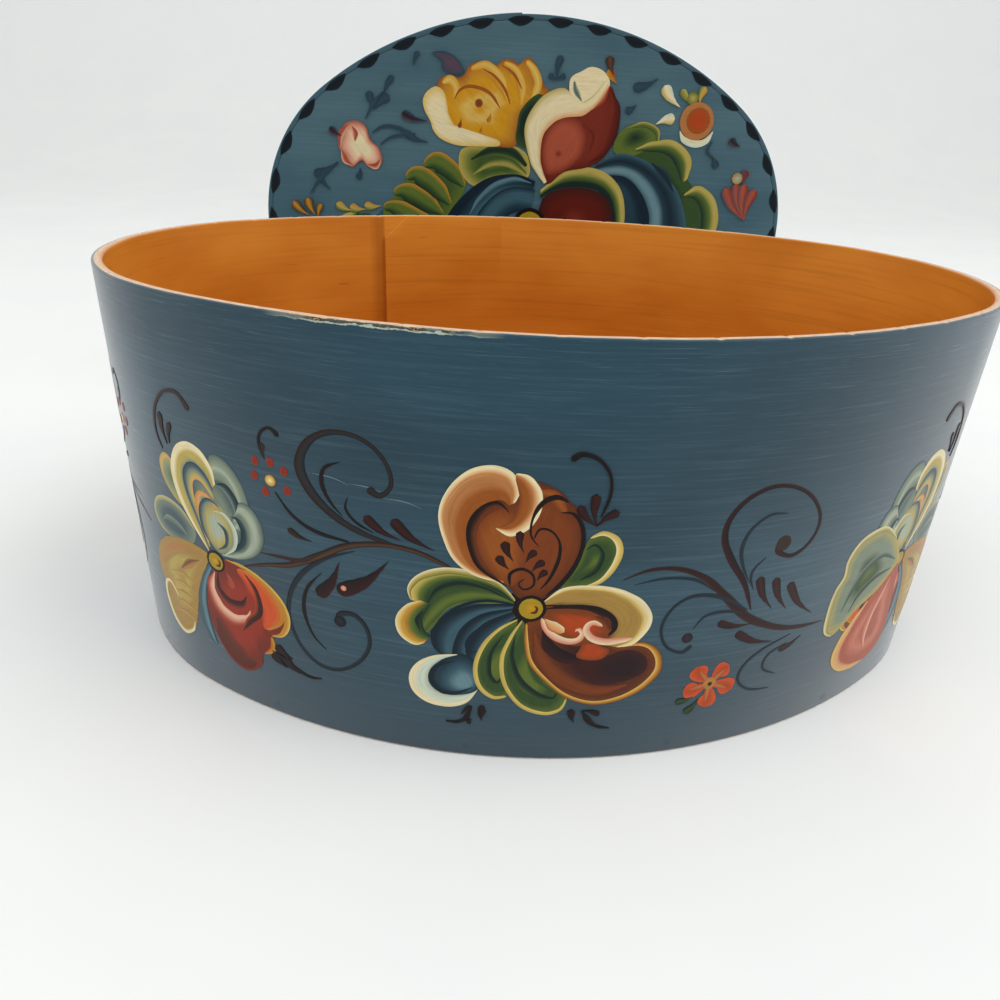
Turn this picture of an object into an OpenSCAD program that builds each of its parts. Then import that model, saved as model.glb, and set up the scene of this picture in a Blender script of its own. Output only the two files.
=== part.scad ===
// Oval bentwood box with a lift-off lid. The box stands open on its base, and the lid
// stands on edge behind it with its painted top facing forward.
// Millimetres, +Z up, -Y to the front. The origin is the centre of the base.

/* [Box] */
// Length over the bent side band
box_l = 267; // [220:1:320]
// Width over the bent side band
box_w = 190; // [160:1:230]
// Height from the table to the rim
box_h = 115; // [70:1:180]
// Thickness of the side band
band_t = 2.8; // [2:0.1:5]
// Break on the edges of the bands
band_edge = 0.5; // [0.2:0.1:0.9]

/* [Lap seam of the side band] */
// Direction of the band's inner end, anticlockwise from +X about the back wall's own centre
lap_at = 110; // [96:1:116]
// Angle over which the two ends lie on each other
lap_angle = 17; // [10:1:24]
// Thickness of the inner end, where it steps in from the wall
lap_in = 1.3; // [0.6:0.1:2]
// Thickness of the outer end, where it steps out from the wall
lap_out = 0.4; // [0.2:0.1:1]
// Length of the corner cut off the inner end at the rim
clip_l = 9.5; // [3:0.5:16]
// Height of the corner cut off the inner end at the rim
clip_h = 8; // [3:0.5:20]

/* [Bottom board] */
// Thickness of the bottom board
bottom_t = 6; // [4:0.5:12]
// Break on the edges of both boards
board_edge = 0.4; // [0.2:0.1:1]

/* [Pegs] */
// Diameter of the wooden pegs
peg_d = 2; // [1.5:0.1:3]
// Length of the wooden pegs
peg_l = 14; // [8:1:24]
// Pegs along each rounded end
end_pegs = 3; // [2:1:5]
// Pegs along each long side
side_pegs = 4; // [2:1:7]
// Gap all round a peg in its hole
peg_gap = 0.02; // [0.01:0.01:0.05]

/* [Lid] */
// Depth of the lid's band, its board included
lid_h = 24; // [14:1:45]
// Thickness of the lid's band
lid_band_t = 2.5; // [1.8:0.1:4]
// Thickness of the lid's board
lid_board_t = 6; // [4:0.5:12]
// Gap between the box's lap and the closed lid
lid_gap = 0.3; // [0.2:0.1:1]
// Thickness of the outer end of the lid's band at its own lap
lid_lap_out = 0.5; // [0.4:0.1:1.5]

/* [Lid standing behind the box] */
// Distance from the back of the box to the lid's painted face
lid_back = 90.5; // [20:0.5:160]
// Sideways distance of the standing lid
lid_side = 12; // [-40:1:40]

/* [Hidden] */
$fn = 144;

// The plan is an oval of four arcs. The centres of its arcs form a 3-4-5 triangle with the
// middle of the box, so each end arc and its neighbouring side arc meet on one straight line
// through both centres, and every offset of the oval keeps the same centres.
oval_k = (box_l - box_w) / 4;
end_x = 3 * oval_k;
side_y = 4 * oval_k;
end_r = box_w / 2 - oval_k;
side_r = box_w / 2 + side_y;
end_half = atan2(4, 3);
side_half = atan2(3, 4);

// Offsets from the oval of the box's outside
lid_in = lap_out + lid_gap;
lid_out = lid_in + lid_band_t;
lid_half_w = box_w / 2 + lid_out;

// How far cutters reach past what they cut, how far a lap runs on inside the wall past its
// tapered end, and the share of the wall that each lap is rooted in
cut_past = 1;
lap_past = 2;
lap_root = 0.3;

// The plan's tips beyond an end arc: a wedge that opens from the arc's centre along the lines
// where the arcs meet, less the round end itself
module tip(outside, h, e, hollow) {
    s = ceil((end_r + outside + 2 * oval_k + cut_past) / 3);
    translate([end_x, 0, 0]) difference() {
        translate([0, 0, -2 * cut_past])
            linear_extrude(h + 4 * cut_past)
                polygon([[0, 0], [3 * s, 4 * s], [4 * s, 4 * s], [4 * s, -4 * s], [3 * s, -4 * s]]);
        disc(end_r + outside, h, e, hollow);
    }
}

// A solid oval at an offset from the box's outside: the two side arcs' discs where they
// overlap, less the tips. A hollow one flares at its ends, to break the edges of what it cuts.
module oval(outside, h, e, hollow = false) {
    difference() {
        intersection_for (side = [-1, 1])
            translate([0, side * side_y, 0]) disc(side_r + outside, h, e, hollow);
        both_ways() tip(outside, h, e, hollow);
    }
}

// A round of an arc's radius, with its edges broken, or flared where it is hollow
module disc(r, h, e, hollow) {
    flare = hollow ? e + cut_past : -e;
    low = hollow ? -cut_past : 0;
    rotate_extrude()
        polygon([
            [0, low], [r + flare, low], [r, e], [r, h - e], [r + flare, h - low], [0, h - low]
        ]);
}

// A bent band whose outside lies at an offset from the oval
module oval_band(outside, t, h) {
    difference() {
        oval(outside, h, band_edge);
        oval(outside - t, h, band_edge, hollow = true);
    }
}

// A stretch of ring about the back wall's centre, long enough for a lap and its buried end
module lap_stretch(from, r_in, r_out, h) {
    rotate([0, 0, from])
        rotate_extrude(angle = lap_angle + lap_past)
            translate([r_in, 0]) square([r_out - r_in, h]);
}

// The inner end of the band: full thickness at the seam, worn away to nothing along the lap
module lap_inner(outside, t, step, h) {
    r = side_r + outside - t;
    slip = step / sin(lap_angle);
    translate([0, -side_y, 0]) difference() {
        lap_stretch(lap_at - lap_angle - lap_past, r - 2 * step, r + lap_root * t, h);
        rotate([0, 0, lap_at - lap_angle]) lap_face(r, slip, h);
        rotate([0, 0, lap_at]) lap_clip(r + t, h);
    }
}

// The corner cut off the inner end at the rim
module lap_clip(r, h) {
    slope = clip_h / clip_l;
    rotate([90, 0, 90]) linear_extrude(r + cut_past)
        polygon([
            [cut_past, h - clip_h - slope * cut_past],
            [-clip_l - cut_past, h + slope * cut_past],
            [cut_past, h + slope * cut_past]
        ]);
}

// The outer end of the band: nothing at the seam, growing to its step at the lap's far end
module lap_outer(outside, t, step, h) {
    r = side_r + outside;
    slip = step / sin(lap_angle);
    translate([0, -side_y, 0]) intersection() {
        lap_stretch(lap_at - lap_angle, r - lap_root * t, r + 2 * step, h);
        rotate([0, 0, lap_at]) lap_face(r, slip, h);
    }
}

// The round face of a lap's tapered end: the wall's own radius about a centre that has slipped
module lap_face(r, slip, h) {
    translate([0, -slip, -cut_past]) rotate([0, 0, 180]) cylinder(r = r, h = h + 2 * cut_past);
}

// Repeats a child for the two ends, or for the two long sides
module both_ways() {
    for (turn = [0, 180]) rotate([0, 0, turn]) children();
}

// Radial pegs, or their holes, through a band whose outside lies at an offset from the oval
module radial_pegs(outside, r, z, past) {
    both_ways() translate([end_x, 0, z])
        for (i = [0 : end_pegs - 1])
            rotate([0, 0, end_half * ((2 * i + 1) / end_pegs - 1)])
                one_peg(end_r + outside, r, past);
    both_ways() translate([0, -side_y, z])
        for (i = [0 : side_pegs - 1])
            rotate([0, 0, 90 + side_half * ((2 * i + 1) / side_pegs - 1)])
                one_peg(side_r + outside, r, past);
}

module one_peg(r_band, r, past) {
    translate([r_band - peg_l, 0, 0]) rotate([0, 90, 0])
        cylinder(r = r, h = peg_l + past, $fn = 32);
}

module box_peg_holes() {
    radial_pegs(0, peg_d / 2 + peg_gap, bottom_t / 2, lap_out + cut_past);
}

module side_band() {
    color("slategray") difference() {
        union() {
            oval_band(0, band_t, box_h);
            lap_inner(0, band_t, lap_in, box_h);
            lap_outer(0, band_t, lap_out, box_h);
        }
        box_peg_holes();
    }
}

module bottom_board() {
    color("peru") difference() {
        oval(-band_t, bottom_t, board_edge);
        lap_inner(0, band_t, lap_in, box_h);
        box_peg_holes();
    }
}

module bottom_pegs() {
    color("slategray") radial_pegs(0, peg_d / 2, bottom_t / 2, 0);
}

// The lid's pieces are drawn closed way up, with the painted top at z = 0, and then stood on
// the front of their band.
module standing() {
    translate([lid_side, box_w / 2 + lid_back, lid_half_w]) rotate([90, 0, 0]) children();
}

module lid_peg_holes() {
    radial_pegs(lid_out, peg_d / 2 + peg_gap, -lid_board_t / 2, lid_lap_out + cut_past);
}

module lid_band() {
    color("steelblue") standing() difference() {
        translate([0, 0, -lid_h]) {
            oval_band(lid_out, lid_band_t, lid_h);
            lap_outer(lid_out, lid_band_t, lid_lap_out, lid_h);
        }
        lid_peg_holes();
    }
}

module lid_board() {
    color("steelblue") standing() difference() {
        translate([0, 0, -lid_board_t]) oval(lid_in, lid_board_t, board_edge);
        lid_peg_holes();
    }
}

module lid_pegs() {
    color("steelblue") standing() radial_pegs(lid_out, peg_d / 2, -lid_board_t / 2, 0);
}

side_band();
bottom_board();
bottom_pegs();
lid_band();
lid_board();
lid_pegs();
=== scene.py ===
# Oval bentwood box with its lid stood on edge behind it, painted with scrolls and flowers.
import math
import random

import bpy
from mathutils import Matrix, Vector


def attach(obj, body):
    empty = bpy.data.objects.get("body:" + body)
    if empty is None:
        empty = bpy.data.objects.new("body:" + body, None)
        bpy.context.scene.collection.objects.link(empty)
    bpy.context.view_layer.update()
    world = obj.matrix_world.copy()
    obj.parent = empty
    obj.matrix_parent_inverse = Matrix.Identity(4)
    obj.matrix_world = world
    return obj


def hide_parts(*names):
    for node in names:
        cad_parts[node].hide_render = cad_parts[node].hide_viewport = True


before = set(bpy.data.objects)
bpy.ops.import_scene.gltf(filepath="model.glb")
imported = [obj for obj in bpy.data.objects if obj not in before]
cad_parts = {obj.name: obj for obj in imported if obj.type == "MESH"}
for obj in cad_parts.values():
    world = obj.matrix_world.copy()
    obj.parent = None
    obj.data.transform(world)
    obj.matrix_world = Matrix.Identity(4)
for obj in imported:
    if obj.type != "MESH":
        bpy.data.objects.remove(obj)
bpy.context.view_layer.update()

MM = 0.001

# The oval of the box's outside, in mm: two long side arcs and two end arcs, whose centres form
# 3-4-5 triangles with the middle of the box
BOX_L = 267.0
BOX_W = 190.0
OVAL_K = (BOX_L - BOX_W) / 4
END_X = 3 * OVAL_K
SIDE_Y = 4 * OVAL_K
END_R = BOX_W / 2 - OVAL_K
SIDE_R = BOX_W / 2 + SIDE_Y
SIDE_HALF = math.atan2(3, 4)
END_HALF = math.atan2(4, 3)
SIDE_RUN = 2 * SIDE_HALF * SIDE_R
END_RUN = 2 * END_HALF * END_R
ROUND = 2 * (SIDE_RUN + END_RUN)

# Each arc's centre, radius, middle direction, half angle and length, from the front anticlockwise
ARCS = (
    (0.0, SIDE_Y, SIDE_R, -math.pi / 2, SIDE_HALF, SIDE_RUN),
    (END_X, 0.0, END_R, 0.0, END_HALF, END_RUN),
    (0.0, -SIDE_Y, SIDE_R, math.pi / 2, SIDE_HALF, SIDE_RUN),
    (-END_X, 0.0, END_R, math.pi, END_HALF, END_RUN),
)

# The side band, in mm, and the lap at its back. The lap runs between its two steps, whose
# directions are in degrees about the back wall's own centre.
BOX_H = 115.0
BAND_T = 2.8
BAND_EDGE = 0.5
BACK_START = SIDE_RUN / 2 + END_RUN
LAP_FROM = 93
LAP_TO = 110
OUTER_STEP = BACK_START + math.radians(LAP_FROM) * SIDE_R - END_HALF * SIDE_R
INNER_STEP = BACK_START + math.radians(LAP_TO) * SIDE_R - END_HALF * SIDE_R
LAP_OUT = 0.4
LAP_IN = 1.3
CLIP_L = 9.5
CLIP_H = 8.0

# The lid, in mm, and where it stands behind the box
LID_BAND_T = 2.5
LID_H = 24.0
LID_GAP = 0.3
LID_LAP_OUT = 0.5
LID_OUT = LAP_OUT + LID_GAP + LID_BAND_T
LID_BACK = 90.5
LID_X = 12.0
LID_FACE_Y = BOX_W / 2 + LID_BACK
LID_MID_Z = BOX_W / 2 + LID_OUT


def oval(s, out):
    """The point of the oval at a distance round it from the front middle, moved outwards."""
    s = (s + SIDE_RUN / 2) % ROUND
    for x, y, r, middle, half, run in ARCS:
        if s <= run:
            break
        s -= run
    turn = middle + half * (2 * s / run - 1)
    return x + (r + out) * math.cos(turn), y + (r + out) * math.sin(turn)


def lap_share(s):
    """How far along the lap a place lies: 0 at the outer end's step and 1 at the inner end's."""
    return ((s - OUTER_STEP) % ROUND) / (INNER_STEP - OUTER_STEP)


def outer_lap(s, step):
    """How far the band's outer end stands out of the wall."""
    return step * max(0.0, 1.0 - lap_share(s))


def wall(s, z, lift):
    """A place on the box's outside: along the wall, up it, and off it."""
    x, y = oval(s, outer_lap(s, LAP_OUT) + lift)
    return Vector((x, y, z)) * MM


def lid_top(u, v, lift):
    """A place on the lid's painted top: across it, up it, and off it."""
    return Vector((LID_X + u, LID_FACE_Y - lift, LID_MID_Z + v)) * MM


# ---------------------------------------------------------------------------------------
# Colours, as red, green and blue from 0 to 255


def paint(red, green, blue):
    """A mixed paint as the linear colour that the shaders take."""
    parts = []
    for part in (red, green, blue):
        share = part / 255
        parts.append(share / 12.92 if share < 0.04045 else ((share + 0.055) / 1.055) ** 2.4)
    return tuple(parts) + (1.0,)


CREAM = paint(234, 218, 172)
BUTTER = paint(220, 188, 100)
STRAW = paint(184, 164, 82)
OCHRE = paint(190, 132, 40)
GOLD = paint(208, 148, 22)
OLIVE = paint(168, 138, 26)
PEACH = paint(220, 162, 104)
TAN = paint(166, 130, 62)
FAWN = paint(178, 116, 64)
COPPER = paint(152, 82, 26)
RUST = paint(124, 59, 20)
CHESTNUT = paint(88, 41, 17)
GARNET = paint(94, 22, 8)
ORANGE = paint(176, 66, 20)
CORAL = paint(170, 80, 54)
EMBER = paint(208, 82, 36)
RED = paint(148, 46, 26)
BRICK = paint(120, 42, 26)
ROSE = paint(200, 116, 88)
PINK = paint(232, 178, 148)
MAROON = paint(56, 20, 16)
PLUM = paint(38, 16, 20)
MAUVE = paint(84, 66, 80)
UMBER = paint(22, 12, 11)
BROWN = paint(52, 34, 24)
TAWNY = paint(92, 60, 38)
LEAF = paint(92, 108, 42)
MOSS = paint(52, 76, 36)
PINE = paint(18, 38, 30)
SAGE = paint(126, 138, 116)
MIST = paint(166, 176, 154)
STEEL = paint(66, 86, 92)
SLATE = paint(58, 90, 102)
DUSK = paint(34, 60, 72)
NAVY = paint(14, 32, 44)
INK = paint(30, 42, 50)
SHADE = paint(44, 68, 80)
BLACK = paint(10, 18, 24)
ICE = paint(206, 216, 194)
SKY = paint(104, 136, 144)
WORN = paint(98, 122, 128)


def blend_paint(a, b, share):
    """Two paints worked into each other."""
    return tuple(p + (q - p) * share for p, q in zip(a, b))


def across(tints, share):
    """The colour at a share of the way across a brush loaded with several paints."""
    place = share * (len(tints) - 1)
    first = min(int(place), len(tints) - 2)
    return blend_paint(tints[first], tints[first + 1], place - first)


# ---------------------------------------------------------------------------------------
# Curves


def smooth(points, count, closed=False):
    """Evenly spread points on a smooth curve through the given ones."""
    n = len(points)
    fine = []
    for i in range(n if closed else n - 1):
        if closed:
            p0, p1, p2, p3 = (points[(i + k) % n] for k in (-1, 0, 1, 2))
        else:
            p0, p1, p2, p3 = (points[min(max(i + k, 0), n - 1)] for k in (-1, 0, 1, 2))
        for k in range(12):
            t = k / 12
            fine.append(tuple(
                0.5 * (2 * b + (c - a) * t + (2 * a - 5 * b + 4 * c - d) * t * t
                       + (3 * b - a - 3 * c + d) * t ** 3)
                for a, b, c, d in zip(p0, p1, p2, p3)
            ))
    fine.append(points[0] if closed else points[-1])
    reach = [0.0]
    for p, q in zip(fine, fine[1:]):
        reach.append(reach[-1] + math.dist(p, q))
    even = []
    k = 0
    steps = count if closed else count - 1
    for i in range(count):
        want = reach[-1] * i / steps
        while k < len(fine) - 2 and reach[k + 1] < want:
            k += 1
        gap = reach[k + 1] - reach[k]
        share = (want - reach[k]) / gap if gap else 0.0
        even.append(tuple(a + (b - a) * share for a, b in zip(fine[k], fine[k + 1])))
    return even


def profile(values, share):
    """A brush pressure read off a few values spread evenly along a stroke."""
    place = share * (len(values) - 1)
    first = min(int(place), len(values) - 2)
    part = place - first
    part = part * part * (3 - 2 * part)
    return values[first] + (values[first + 1] - values[first]) * part


def run_of(points):
    """The length of a broken line."""
    return sum(math.dist(p, q) for p, q in zip(points, points[1:]))


# ---------------------------------------------------------------------------------------
# Painting: each stroke is a thin raised sheet with its edge sunk into the ground paint

# How far the first stroke lies off the wood, each stroke off the last, its middle off its edges,
# and how far its skirt reaches into the wood, in mm
GROUND_LIFT = 0.04
STROKE_LIFT = 0.004
DOME = 0.0025
SINK = 0.04

# How close together the points along a stroke, a lobe and a petal's edge are, in mm
STROKE_STEP = 0.6
LOBE_STEP = 0.9
PETAL_STEP = 1.0

# How much of the way to its core a petal's innermost ring is drawn, and how much a teardrop bows
CORE_PULL = 0.97
DROP_BOW = 0.08

# The spread of the places where strokes start in the streaks of the brush
STREAK_SPREAD = 900


class Painter:
    """Lays strokes on a surface, shifted or mirrored if wanted, and keeps them as one mesh."""

    def __init__(self, surface, own=0.0, at=0.0, flip=False, turn=False, seed=1):
        self.surface = surface
        self.own = own
        self.at = at
        self.middle = (own, 0.0)
        self.size = (1.0, 1.0)
        self.flip = -1 if flip else 1
        self.turn = -1 if turn else 1
        self.points = []
        self.faces = []
        self.tints = []
        self.brush = []
        self.lift = GROUND_LIFT
        self.chance = random.Random(seed)

    def put(self, place, lift):
        u, v = (m + (part - m) * size for part, m, size in zip(place, self.middle, self.size))
        u = self.at + (u - self.own) * self.flip * self.turn
        return self.surface(u, v * self.turn, lift)

    def lay(self, rows, colours, brush, ring=False):
        """Adds a sheet from rows of places, and the skirt that closes it down to the ground."""
        n, m = len(rows), len(rows[0])
        start = len(self.points)
        self.lift += STROKE_LIFT
        own = self.chance.uniform(0, STREAK_SPREAD)
        for i, row in enumerate(rows):
            for j, place in enumerate(row):
                x = 1 - i / (n - 1) if ring else 2 * j / (m - 1) - 1
                self.points.append(self.put(place, self.lift + DOME * (1 - x * x)))
                self.tints.append(colours[i][j])
                self.brush.append(brush[i][j] + (own,))
        area = sum(
            rows[i][j][0] * rows[i + 1][j][1] - rows[i + 1][j][0] * rows[i][j][1]
            + rows[i + 1][j][0] * rows[i + 1][j + 1][1] - rows[i + 1][j + 1][0] * rows[i + 1][j][1]
            + rows[i + 1][j + 1][0] * rows[i][j + 1][1] - rows[i][j + 1][0] * rows[i + 1][j + 1][1]
            + rows[i][j + 1][0] * rows[i][j][1] - rows[i][j][0] * rows[i][j + 1][1]
            for i in range(n - 1) for j in range(m - 1)
        ) * self.flip
        made = []
        for i in range(n - 1):
            for j in range(m if ring else m - 1):
                k = (j + 1) % m
                made.append((start + i * m + j, start + (i + 1) * m + j,
                             start + (i + 1) * m + k, start + i * m + k))
        if ring:
            edge = [(0, j) for j in range(m)]
            made.append(tuple(start + (n - 1) * m + j for j in range(m)))
        else:
            edge = [(0, j) for j in range(m)] + [(i, m - 1) for i in range(1, n)]
            edge += [(n - 1, j) for j in range(m - 2, -1, -1)] + [(i, 0) for i in range(n - 2, 0, -1)]
        low = len(self.points)
        for i, j in edge:
            self.points.append(self.put(rows[i][j], -SINK))
            self.tints.append(colours[i][j])
            self.brush.append(self.brush[start + i * m + j])
        for k, (i, j) in enumerate(edge):
            after = (k + 1) % len(edge)
            i2, j2 = edge[after]
            made.append((start + i * m + j, start + i2 * m + j2, low + after, low + k))
        if area < 0:
            made = [tuple(reversed(face)) for face in made]
        self.faces += made

    def stroke(self, points, widths, tints, cells=5):
        """One pull of the brush: its path, its width along the path, its paints from side to side."""
        count = max(10, int(run_of(points) / STROKE_STEP))
        path = smooth(points, count)
        pace = run_of(path) / (count - 1)
        rows, colours, brush = [], [], []
        for i, (x, y) in enumerate(path):
            a, b = path[max(i - 1, 0)], path[min(i + 1, count - 1)]
            size = math.dist(a, b) or 1.0
            nx, ny = -(b[1] - a[1]) / size, (b[0] - a[0]) / size
            half = profile(widths, i / (count - 1)) / 2
            near = min(i, count - 1 - i) * pace / half
            half = max(0.03, half * math.sqrt(1 - (1 - near) ** 2) if near < 1 else half)
            shares = [j / (cells - 1) for j in range(cells)]
            rows.append([(x + nx * half * (1 - 2 * t), y + ny * half * (1 - 2 * t)) for t in shares])
            colours.append([across(tints, t) for t in shares])
            brush.append([(i * pace, 2 * half * t) for t in shares])
        self.lay(rows, colours, brush)

    def between(self, first, second, tints, cells=9):
        """A lobe filled from one edge to the other with blended paint."""
        count = max(10, int(max(run_of(first), run_of(second)) / LOBE_STEP))
        a, b = smooth(first, count), smooth(second, count)
        shares = [j / (cells - 1) for j in range(cells)]
        rows = [[(p[0] + (q[0] - p[0]) * t, p[1] + (q[1] - p[1]) * t) for t in shares]
                for p, q in zip(a, b)]
        colours = [[across(tints, t) for t in shares] for _ in range(count)]
        brush = [[(i * LOBE_STEP, math.dist(row[0], place)) for place in row]
                 for i, row in enumerate(rows)]
        self.lay(rows, colours, brush)

    def petal(self, outline, core, tints, rings=9):
        """A closed shape blended from its edge in to its core."""
        count = max(16, int(run_of(outline) / PETAL_STEP))
        edge = smooth(outline, count, closed=True)
        rows, colours = [], []
        for i in range(rings):
            t = i / (rings - 1)
            pull = t * CORE_PULL
            rows.append([(x + (core[0] - x) * pull, y + (core[1] - y) * pull) for x, y in edge])
            colours.append([across(tints, t)] * count)
        area = sum(p[0] * q[1] - q[0] * p[1] for p, q in zip(edge, edge[1:] + edge[:1]))
        if area > 0:
            rows = [row[::-1] for row in rows]
        pull = math.atan2(core[1] - outline[0][1], core[0] - outline[0][0])
        c, n = math.cos(pull), math.sin(pull)
        brush = [[(x * c + y * n, y * c - x * n) for x, y in row] for row in rows]
        self.lay(rows, colours, brush, ring=True)

    def drop(self, tail, head, width, tints):
        """A teardrop: pressed at its head and lifted to a point at its tail."""
        mid = ((tail[0] + head[0]) / 2 - (head[1] - tail[1]) * DROP_BOW,
               (tail[1] + head[1]) / 2 + (head[0] - tail[0]) * DROP_BOW)
        widths = [width * share for share in (0.04, 0.22, 0.5, 0.82, 1.0, 1.0)]
        self.stroke([tail, mid, head], widths, tints)

    def drops(self, tints, *marks):
        """Teardrops in the same paints, each given as its tail, head and width."""
        for tail, head, width in marks:
            self.drop(tail, head, width, tints)

    def dot(self, centre, radius, tints, tall=1.0):
        """A round touch of the brush."""
        turns = [math.radians(45 * k) for k in range(8)]
        ring = [(centre[0] + radius * math.cos(t), centre[1] + radius * tall * math.sin(t)) for t in turns]
        self.petal(ring, centre, tints, rings=5)

    def line(self, points, widths, tint):
        """A thin liner stroke in one paint."""
        self.stroke(points, widths, (tint, tint), cells=3)

    def piece(self, name, body, slot, finish):
        """Turns the strokes into a piece that rides with the wood under it."""
        mesh = bpy.data.meshes.new(name)
        mesh.from_pydata(self.points, [], self.faces)
        store(mesh, "tint", "FLOAT_COLOR", "POINT", "color", self.tints)
        store(mesh, "brush", "FLOAT_VECTOR", "POINT", "vector", self.brush)
        return place_piece(name, mesh, body, slot, finish)


def store(mesh, name, kind, domain, part, values):
    """Keeps one value for each point or corner of a mesh."""
    layer = mesh.attributes.new(name, kind, domain)
    layer.data.foreach_set(part, [number for value in values for number in value])


# Faces that meet at more than this, in degrees, keep a sharp edge
SHARP_TURN = 38


def place_piece(name, mesh, body, slot, *finishes):
    """Makes a mesh a piece of the object, with its finishes and a body to ride on."""
    mesh.validate()
    mesh.shade_smooth()
    mesh.set_sharp_from_angle(angle=math.radians(SHARP_TURN))
    for finish in finishes:
        mesh.materials.append(finish)
    piece = bpy.data.objects.new(name, mesh)
    bpy.context.scene.collection.objects.link(piece)
    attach(piece, body)
    return piece


# ---------------------------------------------------------------------------------------
# Finishes


class Wire:
    """A number that varies over a surface. Sums on it add their own nodes."""

    def __init__(self, finish, socket):
        self.finish = finish
        self.socket = socket

    def sum(self, operation, a, b, clamp=False):
        settings = {"operation": operation, "use_clamp": clamp}
        return self.finish.add("ShaderNodeMath", settings, {0: a, 1: b})

    def __add__(self, other):
        return self.sum("ADD", self, other)

    __radd__ = __add__

    def __sub__(self, other):
        return self.sum("SUBTRACT", self, other)

    def __rsub__(self, other):
        return self.sum("SUBTRACT", other, self)

    def __mul__(self, other):
        return self.sum("MULTIPLY", self, other)

    __rmul__ = __mul__

    def __truediv__(self, other):
        return self.sum("DIVIDE", self, other)

    def clipped(self):
        return self.sum("ADD", self, 0.0, clamp=True)


class Mixing:
    """Nodes that mix colours and numbers, in a material or in the world."""

    def __init__(self, tree):
        self.tree = tree

    def add(self, kind, settings=None, inputs=None, out=0):
        """Any node: its settings first, then the values or links of its sockets."""
        node = self.tree.nodes.new(kind)
        for name, value in (settings or {}).items():
            setattr(node, name, value)
        for name, value in (inputs or {}).items():
            self.feed(node.inputs[name], value)
        return Wire(self, node.outputs[out])

    def feed(self, socket, value):
        if isinstance(value, Wire):
            self.tree.links.new(value.socket, socket)
        else:
            socket.default_value = value

    def attribute(self, name):
        return self.add("ShaderNodeAttribute", {"attribute_name": name}, out="Vector")

    def object_place(self):
        """The place on a CAD node in mm."""
        place = self.add("ShaderNodeTexCoord", out="Object")
        return self.stretch(place, (1 / MM, 1 / MM, 1 / MM))

    def stretch(self, place, by):
        return self.add("ShaderNodeVectorMath", {"operation": "MULTIPLY"}, {0: place, 1: by})

    def parts(self, place):
        split = self.add("ShaderNodeSeparateXYZ", None, {0: place})
        return [Wire(self, socket) for socket in split.socket.node.outputs]

    def noise(self, place, by, detail=3.0, rough=0.55, twist=0.0):
        """Noise stretched along the axes: small numbers are long in that direction."""
        inputs = {"Vector": self.stretch(place, by), "Scale": 1.0, "Detail": detail,
                  "Roughness": rough, "Distortion": twist}
        return self.add("ShaderNodeTexNoise", {"noise_dimensions": "3D"}, inputs)

    def between(self, value, low, high):
        """0 below one level and 1 above another."""
        return ((value - low) / (high - low)).clipped()

    def mix(self, share, a, b, how="MIX"):
        settings = {"data_type": "RGBA", "blend_type": how, "clamp_factor": True}
        return self.add("ShaderNodeMix", settings, {0: share, 6: a, 7: b}, out=2)


# How strongly the old ground paint and the strokes on it grey over at a flat angle, how widely
# that haze spreads, and the index that sets how little light every finish mirrors
HAZE = 0.45
STROKE_HAZE = 0.12
HAZE_SPREAD = 0.5
GLOSS_IOR = 1.2


class Finish(Mixing):
    """A material in the making, with the shader that its nodes feed."""

    def __init__(self, name, roughness, haze=HAZE):
        self.material = bpy.data.materials.new(name)
        self.material.use_nodes = True
        super().__init__(self.material.node_tree)
        self.shader = self.tree.nodes["Principled BSDF"]
        self.shader.inputs["Roughness"].default_value = roughness
        self.shader.inputs["IOR"].default_value = GLOSS_IOR
        self.shader.inputs["Sheen Weight"].default_value = haze
        self.shader.inputs["Sheen Roughness"].default_value = HAZE_SPREAD

    def bump(self, height, strength, distance):
        inputs = {"Height": height, "Strength": strength, "Distance": distance}
        self.feed(self.shader.inputs["Normal"], self.add("ShaderNodeBump", None, inputs))

    def colour(self, value):
        self.feed(self.shader.inputs["Base Color"], value)

    def roughness(self, value):
        self.feed(self.shader.inputs["Roughness"], value)


BLUE = paint(38, 73, 88)
BLUE_DEEP = paint(25, 57, 71)
BLUE_WORN = paint(104, 130, 140)
LID_BLUE = paint(74, 106, 116)
LID_BLUE_DEEP = paint(58, 90, 102)
AMBER = paint(222, 146, 52)
AMBER_DEEP = paint(204, 124, 38)
AMBER_DARK = paint(128, 66, 14)
BARE = paint(232, 202, 160)
BARE_DARK = paint(190, 134, 84)

# The stretch of the front rim where the paint is chipped, in mm round the wall. A band's places
# run from its outer step to a whole turn past it, so the front middle lies at ROUND.
CHIPS_FROM = ROUND - 76.0
CHIPS_TO = ROUND - 22.0
CHIPS_FADE = 12.0


def blue_paint(mixing, place, base, deep, worn, rubbed_from):
    """Brushed blue paint: slow tones, faint long brush marks and, high up, fine rubbed lines."""
    tone = mixing.noise(place, (0.012, 0.03, 0.02), 2.0)
    marks = mixing.noise(place, (0.03, 1.1, 0.02), 4.0, 0.6, 0.3)
    fine = mixing.noise(place, (0.07, 3.4, 0.05), 3.0, 0.65, 0.5)
    _, up, _ = mixing.parts(place)
    high = mixing.between(up, rubbed_from, rubbed_from + 25.0)
    ground = mixing.mix(mixing.between(tone, 0.35, 0.65), deep, base)
    ground = mixing.mix(mixing.between(marks, 0.5, 0.8) * 0.25, ground, worn)
    ground = mixing.mix(mixing.between(marks, 0.5, 0.25) * 0.3, ground, deep)
    ground = mixing.mix(mixing.between(fine, 0.58, 0.7) * (0.1 + high * 0.4), ground, worn)
    return ground, marks * 0.5 + fine * 0.5


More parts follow.
